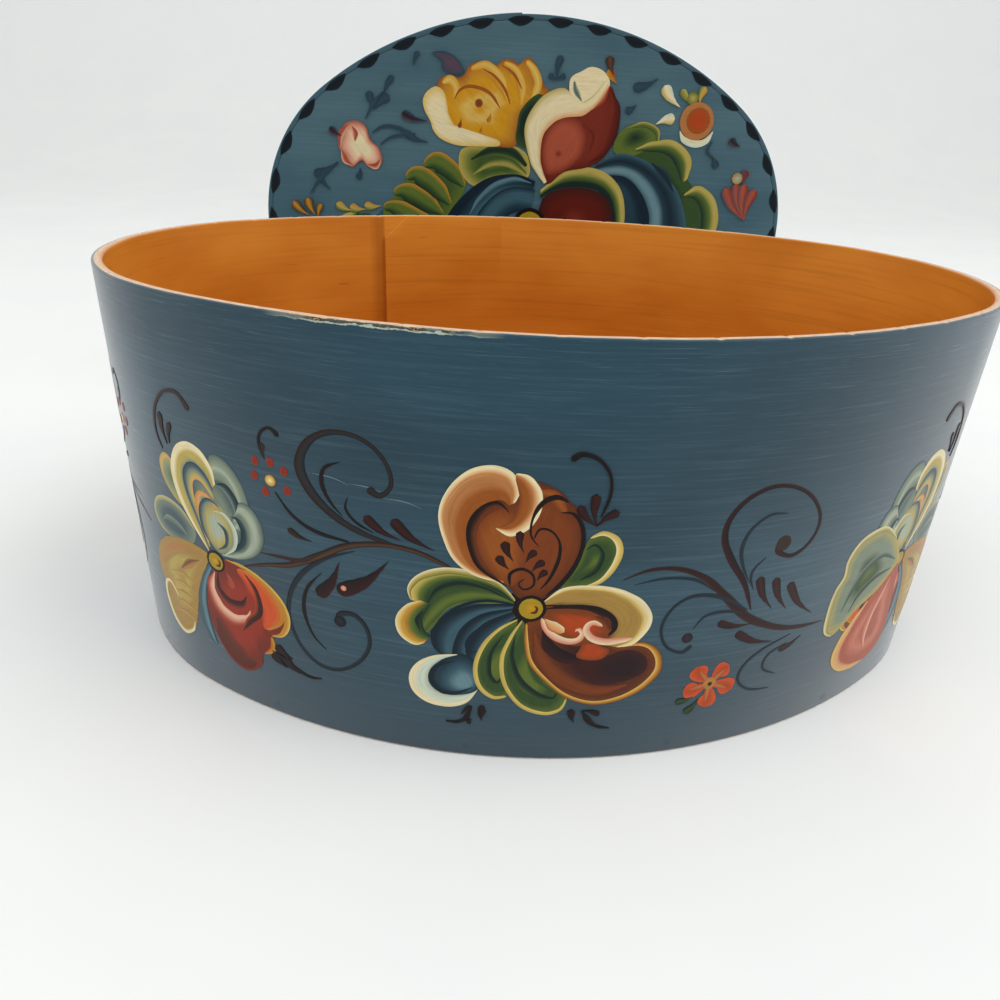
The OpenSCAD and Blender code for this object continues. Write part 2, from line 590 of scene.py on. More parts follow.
def amber_wood(mixing, place):
    """Varnished wood: long grain, slow blotches and short dark flecks."""
    blotch = mixing.noise(place, (0.015, 0.035, 0.02), 3.0, 0.5)
    grain = mixing.noise(place, (0.012, 0.55, 0.3), 5.0, 0.65, 0.4)
    fibre = mixing.noise(place, (0.08, 5.0, 2.0), 2.0)
    fleck = mixing.noise(place, (0.09, 0.7, 0.3), 2.0)
    wood = mixing.mix(mixing.between(blotch, 0.35, 0.65), AMBER_DEEP, AMBER)
    wood = mixing.mix(mixing.between(grain, 0.5, 0.75) * 0.26, wood, AMBER_DARK)
    wood = mixing.mix(mixing.between(fleck, 0.7, 0.78) * 0.35, wood, AMBER_DARK)
    return wood, grain * 0.5 + fibre * 0.5


def bare_wood(mixing, place):
    """The raw edge of the band: pale, dry and specked."""
    speck = mixing.noise(place, (0.35, 1.6, 1.0), 4.0, 0.7)
    return mixing.mix(mixing.between(speck, 0.35, 0.7), BARE, BARE_DARK)


def band_finish(name, height, thick, base, deep, worn, seam):
    """A bent band: painted outside, bare on its worn edge and amber inside. The box's has a seam."""
    mixing = Finish(name, 0.5)
    place = mixing.attribute("place")
    along, round_edge, _ = mixing.parts(place)
    blue, blue_marks = blue_paint(mixing, place, base, deep, worn, height * 0.74)
    # Painted shade: the upper half of the band's paint darkens towards the rim.
    shade = mixing.between(round_edge, height * 0.5, height)
    blue = mixing.mix(shade * 0.45, blue, deep)
    # Painted shade: the paint grows darker towards the band's foot, over the lowest three tenths of its
    # height.
    painted_foot_shade = mixing.between(round_edge, height * 0.3, 0.0)
    blue = mixing.mix(painted_foot_shade, blue, deep)
    amber, grain = amber_wood(mixing, place)
    chips = mixing.noise(place, (0.22, 0.5, 1.0), 4.0, 0.7)
    rubbed = mixing.between(along, CHIPS_FROM, CHIPS_FROM + CHIPS_FADE)
    rubbed = rubbed * mixing.between(along, CHIPS_TO, CHIPS_TO - CHIPS_FADE)
    wander = (chips - 0.5) * (0.6 + rubbed * 4.4)
    edge = mixing.between(round_edge + wander + rubbed * 0.4, height + 0.3, height + 0.45)
    inner = mixing.between(round_edge + chips * 0.6, height + 2.2, height + 2.6)
    foot = mixing.between(round_edge + chips * 1.2, 0.9, 0.4)
    turned = 2 * height + thick
    foot = (foot + mixing.between(round_edge, turned - 0.9, turned - 0.6)).clipped()
    bare = bare_wood(mixing, place)
    crumbs = mixing.noise(place, (0.6, 2.2, 1.0), 3.0, 0.7)
    below = height - round_edge - wander * 0.4
    torn = rubbed * mixing.between(mixing.noise(place, (0.12, 0.3, 1.0), 3.0), 0.36, 0.46)
    blue = mixing.mix(torn * mixing.between(below, 0.95, 0.8) * 0.7, blue, ICE)
    blue = mixing.mix(torn * mixing.between(below, 0.6, 0.5) * 0.9, blue, UMBER)
    outside = mixing.between(round_edge, height - 0.05, height - 0.15)
    bare = mixing.mix(mixing.between(crumbs, 0.42, 0.54) * outside, bare, UMBER)
    mixed = mixing.mix(edge, blue, bare)
    mixed = mixing.mix(inner, mixed, amber)
    mixed = mixing.mix(foot, mixed, bare if seam else deep)
    mixing.colour(mixed)
    mixing.roughness(0.2 + blue_marks * 0.12 + inner * 0.12 + edge * 0.35 * (1 - inner))
    mixing.bump(mixing.mix(inner, blue_marks, grain), 0.2, 0.0002)
    return mixing.material


def inside_finish(name, seam):
    """The varnished inside of a band, with a painted shadow beside the seam's step where it shows."""
    mixing = Finish(name, 0.5, 0.0)
    place = mixing.attribute("place")
    along, _, _ = mixing.parts(place)
    amber, grain = amber_wood(mixing, place)
    if seam:
        # Painted shadow: a dark strip about 6 mm wide along the seam, beside the inner end's step.
        step_shadow = mixing.between(along, INNER_STEP - 0.2, INNER_STEP + 0.6)
        step_shadow = step_shadow * mixing.between(along, INNER_STEP + 6.5, INNER_STEP + 3.0)
        amber = mixing.mix(step_shadow * 0.35, amber, AMBER_DARK)
    mixing.colour(amber)
    mixing.roughness(0.32 + grain * 0.12)
    mixing.bump(grain, 0.2, 0.0002)
    return mixing.material


def stroke_finish():
    """Oil paint laid on with a loaded brush, streaked along each stroke."""
    mixing = Finish("painted_strokes", 0.42, STROKE_HAZE)
    tint = mixing.add("ShaderNodeAttribute", {"attribute_name": "tint"}, out="Color")
    brush = mixing.attribute("brush")
    streak = mixing.noise(brush, (0.12, 1.6, 1.0), 3.0, 0.6)
    cloud = mixing.noise(brush, (0.15, 0.4, 1.0), 2.0)
    mixed = mixing.mix(mixing.between(streak, 0.55, 0.2) * 0.2, tint, UMBER, "MULTIPLY")
    mixed = mixing.mix(mixing.between(cloud, 0.5, 0.8) * 0.1, mixed, UMBER)
    mixing.colour(mixed)
    mixing.roughness(0.3 + streak * 0.14)
    mixing.bump(streak, 0.25, 0.0001)
    return mixing.material


def peg_finish(name, base, deep, worn):
    """Whittled pegs, painted over with the band."""
    mixing = Finish(name, 0.5)
    place = mixing.object_place()
    blue, marks = blue_paint(mixing, place, base, deep, worn, BOX_H)
    ends = mixing.noise(place, (2.5, 2.5, 2.5), 3.0, 0.7)
    mixing.colour(mixing.mix(mixing.between(ends, 0.66, 0.74) * 0.5, blue, BARE_DARK))
    mixing.bump(marks, 0.3, 0.0003)
    return mixing.material


def board_finish(name, painted):
    """A thin board with its grain along its length, painted on its top if wanted."""
    mixing = Finish(name, 0.46, HAZE if painted else 0.0)
    place = mixing.object_place()
    _, depth, _ = mixing.parts(place)
    amber, grain = amber_wood(mixing, place)
    if painted:
        upright = mixing.add("ShaderNodeMapping", None, {"Vector": place, "Rotation": (math.pi / 2, 0, 0)})
        blue, marks = blue_paint(mixing, upright, LID_BLUE, LID_BLUE_DEEP, BLUE_WORN, 2 * BOX_H)
        chips = mixing.noise(place, (0.5, 0.5, 0.5), 3.0)
        back = mixing.between(depth + chips, LID_FACE_Y + 1.6, LID_FACE_Y + 2.0)
        mixing.colour(mixing.mix(back, blue, amber))
        mixing.bump(mixing.mix(back, marks, grain), 0.3, 0.0003)
    else:
        mixing.colour(amber)
        mixing.bump(grain, 0.3, 0.0003)
    return mixing.material


# ---------------------------------------------------------------------------------------
# The two bent bands and the lap's inner end


def rim_wear(s):
    """How far the rim is rubbed down, in mm: slow waves and a few small nicks."""
    wave = math.sin(s * 0.21) * math.sin(s * 0.047 + 1.3)
    nick = max(0.0, math.sin(s * 1.13) + math.sin(s * 0.37 + 2.0) - 1.62)
    return 0.05 * wave + 0.5 * nick


# Places round a swept band, where the first lies past the outer step, the part of the turn that is
# left open there, and how far a worn rim swells between its broken edges, in mm
BAND_PLACES = 700
SWEEP_PAST = 0.001
SWEEP_SHORT = 0.02
RIM_CROWN = 0.06


def bent_band(name, out, thick, height, step, spot, worn):
    """A closed band swept round the oval from the outer end's step back to it."""
    e = BAND_EDGE
    section = [(0, e, e), (0, height * 0.25, height * 0.25), (0, height * 0.5, height * 0.5),
               (0, height * 0.75, height * 0.75), (0, height - e, height - e)]
    for k in range(1, 4):
        turn = math.pi / 2 * k / 3
        section.append((-e + e * math.cos(turn), height - e + e * math.sin(turn), height - e + e * k / 3))
    section.append((-thick / 2, height + RIM_CROWN, height + thick / 2))
    for k in range(4):
        turn = math.pi / 2 * k / 3
        section.append((-thick + e - e * math.sin(turn), height - e + e * math.cos(turn),
                        height + thick - e + e * k / 3))
    for k in range(3, -1, -1):
        z = height * k / 4 if k else e
        section.append((-thick, z, height + thick + height - z))
    for turn in (math.pi / 6, math.pi / 3):
        section.append((-thick + e - e * math.cos(turn), e - e * math.sin(turn),
                        2 * height + thick))
    section += [(-thick + e, 0, e - thick), (-e, 0, -e), (-e * 0.5, e * 0.13, -e / 2),
                (-e * 0.13, e * 0.5, 0)]
    count = BAND_PLACES
    stations = [OUTER_STEP + SWEEP_PAST + (ROUND - SWEEP_SHORT) * i / (count - 1) for i in range(count)]
    places = []
    for s in stations:
        lap = outer_lap(s, step)
        rub = rim_wear(s) if worn else 0.0
        for o, z, _ in section:
            swell = lap * max(0.0, 1 + o / (thick / 2))
            x, y = oval(s, out + o + swell)
            drop = rub * max(0.0, (z - height + 1.0)) if z > height - 1 else 0.0
            places.append(spot(x, y, z - drop))
    m = len(section)
    turned = 2 * height + thick - e
    faces, corners, inside = [], [], []
    for i in range(count):
        after = (i + 1) % count
        s1 = stations[i]
        s2 = stations[after] if after else stations[0] + ROUND
        for j in range(m):
            k = (j + 1) % m
            v1, v2 = section[j][2], section[k][2]
            if v1 > 2 * height and v2 < 0:
                v2 = 2 * height + thick
            faces.append((i * m + j, after * m + j, after * m + k, i * m + k))
            inside.append(int(height + thick <= v1 <= turned and v2 <= turned))
            wrap = ROUND if v1 > height + thick / 2 and s2 < INNER_STEP + 0.5 else 0.0
            corners += [(s1 + wrap, v1, 0), (s2 + wrap, v1, 0), (s2 + wrap, v2, 0), (s1 + wrap, v2, 0)]
    mesh = bpy.data.meshes.new(name)
    mesh.from_pydata(places, [], faces)
    store(mesh, "place", "FLOAT_VECTOR", "CORNER", "vector", corners)
    mesh.polygons.foreach_set("material_index", inside)
    return mesh


# The wedge's rows along the wall and up it, how far it is sunk in the wall, how far its rim lies
# below the band's, and how much that rim is eased, in mm
WEDGE_LONG = 26
WEDGE_HIGH = 12
WEDGE_SINK = 0.3
WEDGE_LOW = 0.25
WEDGE_EASE = 0.25


def inner_end():
    """The band's inner end: a wedge on the inside of the back wall with its rim corner cut off."""
    count, high = WEDGE_LONG, WEDGE_HIGH
    start, end = OUTER_STEP + 1.0, INNER_STEP
    rows = []
    for i in range(count):
        s = start + (end - start) * i / (count - 1)
        top = BOX_H - WEDGE_LOW - CLIP_H * max(0.0, 1 - (end - s) / CLIP_L)
        thick = LAP_IN * lap_share(s)
        rows.append((s, top, thick))
    points, faces, spots = [], [], []
    for depth in (1.0, 0.0):
        for s, top, thick in rows:
            for j in range(high):
                z = top * math.sin(math.pi / 2 * j / (high - 1))
                off = thick if depth else -WEDGE_SINK
                ease = WEDGE_EASE if depth and j == high - 1 else 0.0
                x, y = oval(s, -BAND_T - max(off - ease, -WEDGE_SINK))
                points.append(Vector((x, y, z)) * MM)
                spots.append((s + ROUND, 2 * BOX_H + BAND_T - z, 0))
    layer = count * high
    for i in range(count - 1):
        for j in range(high - 1):
            a = i * high + j
            faces.append((a, a + 1, a + high + 1, a + high))
            faces.append((layer + a, layer + a + high, layer + a + high + 1, layer + a + 1))
    for i in range(count - 1):
        a, b = i * high, (i + 1) * high
        faces.append((a, b, layer + b, layer + a))
        a, b = a + high - 1, b + high - 1
        faces.append((b, a, layer + a, layer + b))
    for j in range(high - 1):
        a, b = j, j + 1
        faces.append((b, a, layer + a, layer + b))
        a, b = (count - 1) * high + j, (count - 1) * high + j + 1
        faces.append((a, b, layer + b, layer + a))
    mesh = bpy.data.meshes.new("band_inner_end")
    mesh.from_pydata(points, [], faces)
    store(mesh, "place", "FLOAT_VECTOR", "POINT", "vector", spots)
    return mesh


def box_spot(x, y, z):
    """A place on the box's band, from mm."""
    return Vector((x, y, z)) * MM


def lid_spot(x, y, z):
    """The lid's band is swept with its rim at the bottom of the lid, and then stood up."""
    return Vector((LID_X + x, LID_FACE_Y + z, LID_MID_Z + y)) * MM


box_band_finish = band_finish("painted_side_band", BOX_H, BAND_T, BLUE, BLUE_DEEP, BLUE_WORN, True)
box_inside = inside_finish("varnished_inside", True)
lid_inside = inside_finish("varnished_lid_inside", False)
lid_band_finish = band_finish("painted_lid_band", LID_H, LID_BAND_T, LID_BLUE, LID_BLUE_DEEP, BLUE_WORN,
                              False)

band_mesh = bent_band("side_band_bent", 0.0, BAND_T, BOX_H, LAP_OUT, box_spot, True)
side_band = place_piece("side_band_bent", band_mesh, "box", "painted_band", box_band_finish, box_inside)
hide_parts("side_band")
lap_end = place_piece("band_inner_end", inner_end(), "box", "painted_band", box_inside)
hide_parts("side_band")

lid_mesh = bent_band("lid_band_bent", LID_OUT, LID_BAND_T, LID_H, LID_LAP_OUT, lid_spot, False)
lid_mesh.flip_normals()
lid_band = place_piece("lid_band_bent", lid_mesh, "lid", "painted_lid_band", lid_band_finish, lid_inside)
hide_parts("lid_band")


def dress_cad():
    """Gives the solids that stay in view their finishes."""
    looks = {
        "bottom_board": board_finish("bottom_board_wood", False),
        "bottom_pegs": peg_finish("box_pegs_paint", BLUE, BLUE_DEEP, BLUE_WORN),
        "lid_board": board_finish("lid_board_paint", True),
        "lid_pegs": peg_finish("lid_pegs_paint", LID_BLUE, LID_BLUE_DEEP, BLUE_WORN),
    }
    for node, material in looks.items():
        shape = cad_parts[node]
        if not shape.data.materials:
            shape.data.materials.append(material)
        for k in range(len(shape.data.materials)):
            shape.data.materials[k] = material


dress_cad()

strokes = stroke_finish()


# ---------------------------------------------------------------------------------------
# The painted decoration on the wall. Places are in mm: round the wall from its front middle,
# and up from the table.


def front_flower(p):
    """The big flower: a curled top lobe, green and blue petals, and a red-brown one."""
    p.middle = (BIG, 48.9)
    p.size = (0.965, 0.98)
    p.dot(p.middle, 6.4, (UMBER, UMBER))
    # blue petals, from the outermost in
    outer = [(-16.9, 49.8), (-26.3, 49.1), (-33.8, 45.4), (-37.8, 40.4), (-37.5, 34.8), (-34.4, 32)]
    second = [(-17.5, 48.6), (-25, 46.4), (-30.2, 41.5), (-32.3, 35), (-32, 30)]
    third = [(-17.5, 47.6), (-23.8, 44.2), (-27.6, 39.4), (-29, 35.5), (-28.4, 32.4)]
    last = [(-16.5, 46), (-20.6, 42.3), (-24.4, 36.6), (-25.5, 31), (-26, 28.5)]
    p.between(outer, second, (NAVY, NAVY, DUSK, SLATE, SLATE))
    p.between(second, third, (NAVY, NAVY, DUSK, SLATE))
    p.between(third, last, (NAVY, NAVY, DUSK, SLATE))
    p.petal([(-32.5, 33), (-37, 28), (-37.5, 22.5), (-33.5, 19), (-28.5, 19.6), (-24.4, 23),
             (-24.6, 29), (-28, 33)], (-28.4, 24), (NAVY, DUSK, SLATE, SKY, SKY))
    p.line([(-20, 45.6), (-25, 42), (-28.6, 37.4), (-28, 34.4), (-25.6, 34.8)], (0.2, 1, 1.3, 0.8, 0.3),
           NAVY)
    # pale crescent at their foot
    rim = [(-31, 33.2), (-37, 32), (-41.6, 29), (-43.9, 24.5), (-43, 19.5), (-39, 16.2),
           (-33.1, 15.5), (-28.1, 17.6), (-25.2, 22.4)]
    inside = [(-31, 33), (-35, 31), (-38, 27.6), (-38.6, 23.6), (-36.8, 20.8), (-33.4, 19.6),
              (-29.8, 20), (-27, 21), (-25.4, 22.2)]
    p.between(rim, inside, (CREAM, CREAM, ICE, ICE, MIST))
    p.stroke([(-31.5, 31), (-36, 28.6), (-37.4, 24.4), (-34.8, 20.9), (-30.6, 20.8), (-26.6, 23)],
             (0.3, 1.6, 2.6, 2.2, 1.0, 0.3), (DUSK, NAVY, NAVY))
    # two-lobed green leaf to the left
    upper = [(-16.9, 51), (-21.3, 55.4), (-27.5, 57.6), (-34.4, 57.9), (-40.6, 55.4), (-43.5, 51.6),
             (-43.1, 48.2)]
    fold = [(-17.2, 50.4), (-21, 53.4), (-27, 55.2), (-33.6, 54.4), (-37.2, 51.4), (-38.4, 49),
            (-38.6, 47.6)]
    low = [(-17.2, 50), (-22, 51), (-28, 50.2), (-33.6, 47.4), (-37.2, 43), (-39.2, 39.6), (-40.6, 37.6)]
    lobe = [(-40.6, 48.4), (-44.4, 45.6), (-46.4, 41.4), (-45.4, 37.4), (-42.2, 35.2), (-39.6, 35.8)]
    bed = [(-38, 47.6), (-39.4, 45), (-40.2, 42.4), (-39.8, 40), (-38.8, 38.6), (-38, 38)]
    p.petal([(-18, 50.6), (-27, 56), (-38, 55), (-42, 48), (-44.6, 42), (-41.6, 37), (-38, 40), (-32, 48)],
            (-33, 51), (LEAF, MOSS, MOSS))
    p.between(upper, fold, (BUTTER, STRAW, LEAF, MOSS, PINE))
    p.between(fold, low, (PINE, MOSS, MOSS, LEAF, LEAF, MOSS))
    p.between(lobe, bed, (BUTTER, OCHRE, LEAF, MOSS, PINE))
    p.stroke(upper, (0.4, 1, 1.6, 1.8, 2, 1.6, 0.5), (LEAF, STRAW, CREAM))
    p.stroke(lobe, (0.4, 1.4, 2, 2, 1.6, 0.4), (OCHRE, BUTTER, CREAM))
    p.stroke([(-17.5, 50.6), (-24, 54), (-31, 55.1), (-36.6, 52.6), (-38.6, 48.6)],
             (0.2, 0.9, 1.5, 1.7, 0.5), (PINE, PINE, MOSS))
    p.line([(-40, 45.6), (-41.6, 42.4), (-40.8, 39.2)], (0.3, 1.3, 0.2), PINE)
    p.stroke([(-17.4, 49.9), (-24, 50.4), (-30, 48.4), (-35, 44), (-37.6, 38.6)],
             (0.5, 0.8, 0.9, 0.7, 0.3), (NAVY, NAVY))
    # two green petals below
    left = [(-16, 45.4), (-20.6, 42), (-24.4, 36.6), (-26.2, 29.8), (-25, 23.6), (-21.3, 20.2),
            (-17.6, 20.8), (-18.3, 25), (-19.2, 32), (-17.4, 39.8)]
    p.petal(left, (-20.4, 30), (LEAF, MOSS, MOSS, LEAF, LEAF))
    p.stroke(left[:7], (0.4, 0.8, 1.1, 1.2, 1.2, 1.2, 0.8), (BUTTER, STRAW))
    p.stroke([(-19, 41), (-22.4, 34.6), (-22.6, 28), (-20.4, 25), (-18.8, 28)],
             (0.2, 1, 1.6, 1.5, 0.3), (PINE, PINE, MOSS))
    right = [(-14.8, 45.2), (-17.5, 39.8), (-19.4, 32.9), (-18.3, 24.8), (-13.8, 18), (-7.5, 15.4),
             (-3.1, 16.8), (-1.6, 20.6), (-7.5, 26), (-11.6, 33.5), (-13.6, 41)]
    p.petal(right, (-12.4, 26.6), (LEAF, MOSS, MOSS, LEAF, LEAF))
    p.stroke(right[:8], (0.4, 0.9, 1.1, 1.1, 1.1, 1.2, 1.1, 0.5), (BUTTER, STRAW))
    p.stroke([(-16.2, 41), (-17, 34), (-14.6, 26.6), (-9.6, 21.8), (-5.4, 20.6), (-4.4, 22.6)],
             (0.2, 1.2, 1.8, 2, 1.8, 0.5), (PINE, PINE, MOSS))
    # small green leaf to the right of the top lobe
    small = [(-6, 55), (-2.6, 61), (-1.2, 66), (0, 69.1), (3.1, 70.4), (6.3, 68.8), (7.6, 65.4),
             (6.5, 61), (3.8, 57.2), (0, 55.6)]
    p.petal(small, (1.6, 62.6), (LEAF, MOSS, MOSS, LEAF))
    p.stroke(small[3:], (0.5, 1.2, 1.7, 1.8, 1.6, 1.2, 0.4), (STRAW, BUTTER, CREAM))
    p.stroke([(-1.6, 57.4), (2.2, 60.4), (3.4, 64.6), (1.4, 67.2), (-0.8, 65.8)],
             (0.4, 1.6, 1.4, 0.9, 0.3), (MOSS, PINE, PINE))
    # big red-brown petal
    belly = [(-13.8, 44.4), (-13.4, 38.5), (-11.9, 32.3), (-7.5, 26.6), (-1.9, 21.6), (5, 19),
             (11.9, 19.8), (18.1, 23), (22.1, 27.9), (22.2, 32.3), (20, 36), (16.3, 37.8),
             (11.3, 37.2), (4, 41), (-6, 46)]
    p.petal(belly, (8, 30), (RUST, CHESTNUT, CHESTNUT, MAROON, MAROON, MAROON))
    p.stroke(belly[:13], (0.6, 1.1, 1.2, 1.1, 1.1, 1.2, 1.3, 1.5, 1.8, 2, 1.8, 1.2, 0.4),
             (BUTTER, OCHRE, RUST))
    p.stroke([(-11.6, 42), (-9, 33.6), (-2.6, 26.4), (6, 23), (14.6, 24.6)],
             (1, 4.4, 5, 4, 1), (CHESTNUT, RUST, RUST, CHESTNUT))
    p.stroke([(-9.6, 42.6), (-7.4, 37.2), (-2.4, 33.8), (2.4, 34)], (0.5, 3.4, 3.8, 1.2),
             (UMBER, PLUM, MAROON))
    p.petal([(4, 31), (12, 36), (18, 34), (19, 29), (14, 26), (7, 26)], (13, 30), (MAROON, PLUM, PLUM))
    p.petal([(1, 39.6), (3.6, 39.4), (6, 37.6), (8.4, 36.2), (6.6, 33.5), (2.9, 33.2), (-0.4, 34.4),
             (0.6, 37)], (4, 36), (RUST, ORANGE, ORANGE))
    # ochre petal to the right, over an orange bed
    bed = [(-10.4, 49), (-4, 49.4), (3, 48.6), (8.6, 46), (11, 41), (8, 38.4), (3, 38.4), (-2, 38),
           (-7.4, 41.6)]
    p.petal(bed, (-1, 44.6), (RUST, RUST, ORANGE, ORANGE))
    top = [(-9.8, 51), (-5, 54.6), (1.3, 55.2), (7.5, 54.2), (13.1, 51.2), (16.7, 46.6), (16.5, 42.3),
           (13.9, 38.6), (10, 37.2)]
    under = [(-9.6, 50), (-4.6, 50.2), (1.6, 49.6), (6, 47.6), (8.2, 44.8), (8.4, 42), (7.4, 40),
             (6.6, 39), (6, 38.2)]
    p.between(top, under, (STRAW, TAN, TAN, TAN, TAN, TAWNY))
    p.stroke(top, (0.3, 1.2, 1.4, 1.6, 2.2, 3, 3.2, 2.2, 0.5), (CREAM, CREAM, BUTTER, TAN))
    p.stroke([(-9.4, 48.9), (-3.8, 49.7), (2.4, 49.2), (7.2, 46.6), (8.8, 43.2), (7.4, 40.8)],
             (0.3, 1.1, 1.5, 2.2, 2.2, 0.7), (UMBER, UMBER, MAROON))
    p.stroke([(-10.1, 46.2), (-8.7, 43), (-6.4, 40.6), (-3.1, 39.2), (-0.3, 39.6), (0.8, 41.6), (-0.4, 43),
              (-1.3, 42.3)], (0.8, 1.6, 1.9, 2, 1.9, 1.7, 1.4, 0.7), (CREAM, PINK, ROSE))
    p.stroke([(-9.3, 46), (-7.3, 44), (-4, 42)], (0.6, 3, 2.4), (CREAM, PEACH, PEACH, ORANGE))
    p.stroke([(5.7, 43.8), (3.3, 44.9), (1.8, 43.9), (1.8, 42.1), (3.4, 40.1), (6.7, 39), (10.3, 39.2),
              (14.1, 39.8)], (0.8, 1.5, 1.8, 2, 2.1, 2.1, 1.8, 0.7), (ROSE, PINK, CREAM))
    p.stroke([(3.4, 46.8), (6.6, 45.2), (7.6, 42.4)], (0.5, 2, 0.8), (CHESTNUT, CHESTNUT, RUST))
    # brown heart of the top petal
    heart = [(-15.6, 51.6), (-20, 56), (-26.5, 59.1), (-29, 64.8), (-29.6, 69.8), (-28.1, 74.1),
             (-25, 77.3), (-20, 79), (-15.4, 82.6), (-12.6, 83.2), (-8, 81), (-5.4, 78.4), (-2.8, 75.4),
             (-1.3, 68.5), (-2.1, 62.9), (-5, 57.3), (-9.4, 52.3)]
    p.petal(heart, (-13, 66), (CHESTNUT, RUST, RUST, RUST))
    p.petal([(-18, 55), (-24, 60), (-27, 67), (-25.6, 73), (-20, 76), (-16, 70), (-15.6, 62)], (-21.6, 66),
            (RUST, COPPER, COPPER))
    p.stroke([(-13.6, 81), (-9.6, 80), (-6.4, 75.6)], (1, 3, 1.6), (RUST, COPPER, RUST))
    # its curled pale lobe
    curl = [(-20, 56.2), (-26.9, 57.9), (-31.9, 61.6), (-34.6, 67.3), (-35.7, 72.9), (-34.5, 77.9),
            (-31.3, 82.5), (-27.3, 85.1), (-23.1, 85.6), (-19.8, 84.2), (-18.2, 81), (-18.8, 77.6)]
    hollow = [(-20.4, 56.6), (-26, 59.6), (-28.6, 64.8), (-29.3, 69.8), (-28.6, 73.2), (-26.6, 76),
              (-24.4, 77.4), (-22.6, 78.2), (-21.4, 78.2), (-20.6, 77.8), (-20.2, 77.4), (-19.8, 77)]
    p.between(curl, hollow, (PEACH, FAWN, FAWN, COPPER, COPPER, COPPER), cells=13)
    p.stroke(curl, (0.3, 1, 1.2, 1.3, 1.3, 1.3, 1.4, 1.6, 2, 2.3, 2.2, 0.8), (CREAM, CREAM, PEACH, FAWN))
    p.stroke([(-18.6, 54.8), (-25.6, 59.6), (-28.2, 65), (-28.6, 70.6), (-26, 75.6), (-22.4, 77.4),
              (-19.4, 75)], (0.2, 1, 1.5, 1.7, 2, 1.3, 0.2), (UMBER, UMBER, CHESTNUT))
    edge = [(-18.6, 85), (-15.8, 84), (-13.4, 80.6), (-13.4, 76), (-15.6, 72), (-19, 69.9), (-22.6, 70.9)]
    nook = [(-18.6, 83.6), (-18, 81.6), (-17.4, 78.6), (-17.8, 75.6), (-19, 73.2), (-20.8, 71.8),
            (-22.4, 71)]
    p.between(edge, nook, (PEACH, FAWN, COPPER, COPPER, RUST))
    p.stroke(edge, (0.5, 1.8, 2.2, 2.3, 2.4, 2, 0.4), (CREAM, CREAM, PEACH, FAWN))
    # liner marks on the brown heart
    p.line([(-5.8, 78.4), (-8.8, 79.7), (-12, 78.1), (-14, 74.1), (-14.2, 69.6), (-12, 66.4)],
           (0.5, 1.4, 1.2, 0.6, 0.5, 0.2), UMBER)
    p.line([(-13.4, 68.6), (-12.2, 71.2), (-9.4, 70.8), (-7.3, 67.9), (-7.1, 63.4), (-8.8, 58),
            (-11, 54.6)], (0.4, 0.6, 0.5, 0.8, 1, 0.8, 0.3), UMBER)
    p.line([(-7.6, 75.8), (-4.4, 75.4), (-2.2, 72), (-1.7, 67), (-3, 61.6), (-6, 56.4), (-9.6, 52.6)],
           (0.3, 1, 1.1, 1.1, 1.2, 1.2, 0.5), UMBER)
    p.drops((UMBER, MAROON, UMBER), ((-15.6, 64.6), (-16.8, 70.6), 2), ((-18, 62.2), (-20.4, 67.6), 2.4),
            ((-18.8, 59.8), (-21.8, 63.6), 2.3), ((-15, 62), (-12.6, 65.4), 2),
            ((-13.4, 59.6), (-10.4, 62.6), 2.1), ((-12, 57), (-9.6, 60), 1.9))
    p.line([(-18.4, 55.2), (-18.6, 58.6), (-15.8, 60.2), (-13, 58.6), (-12.8, 55.6), (-15, 54.4),
            (-16.4, 56), (-15, 57.4)], (0.4, 0.9, 0.8, 0.7, 0.6, 0.5, 0.4, 0.2), UMBER)
    button(p, (-12.9, 48.9), 3.9)
    p.size = (1.0, 1.0)


def button(p, centre, radius):
    """The flower's button: ochre, in a dark ring."""
    p.dot(centre, radius, (UMBER, UMBER, CHESTNUT))
    p.dot(centre, radius * 0.78, (OLIVE, OLIVE, GOLD))
    x, y = centre
    p.line([(x - 0.2, y - 1.2), (x + 1.2, y - 1), (x + 1.5, y + 0.2), (x + 0.8, y + 0.9)],
           (0.3, 0.8, 0.7, 0.3), CHESTNUT)


def front_sprigs(p):
    """Small dark leaves and a tendril round the big flower."""
    p.drops((UMBER, PLUM), ((-29, 14.2), (-26.2, 17), 1.8), ((-26.4, 13), (-27.4, 11.4), 1.8),
            ((-24.4, 14), (-23.2, 17.6), 1.8))
    p.line([(-33, 11.4), (-30, 11.4), (-27.8, 13), (-26.4, 16.6)], (0.2, 0.7, 1.4, 0.5), UMBER)
    p.drop((-23.6, 12.6), (-23.2, 16.6), 2, (UMBER, PLUM))
    p.line([(10.4, 10.6), (7, 11.4), (4.6, 13.4), (2.2, 17)], (0.2, 0.8, 1.7, 0.4), UMBER)
    p.drops((UMBER, PLUM), ((0.6, 13), (-0.4, 17.4), 2.2), ((2.6, 17), (7.2, 15.4), 1.7))
    p.line([(-6.6, 88), (-4.2, 89.6), (-0.4, 88.4), (2.4, 84.8), (3, 79.8), (1.4, 74)],
           (1.5, 1, 0.8, 0.7, 0.7, 0.3), UMBER)
    for head, width in (((0, 80), 2.3), ((-3.8, 77), 2.2), ((5.6, 75.6), 2)):
        p.drop((0.7, 71.8), head, width, (UMBER, MAROON, PLUM))


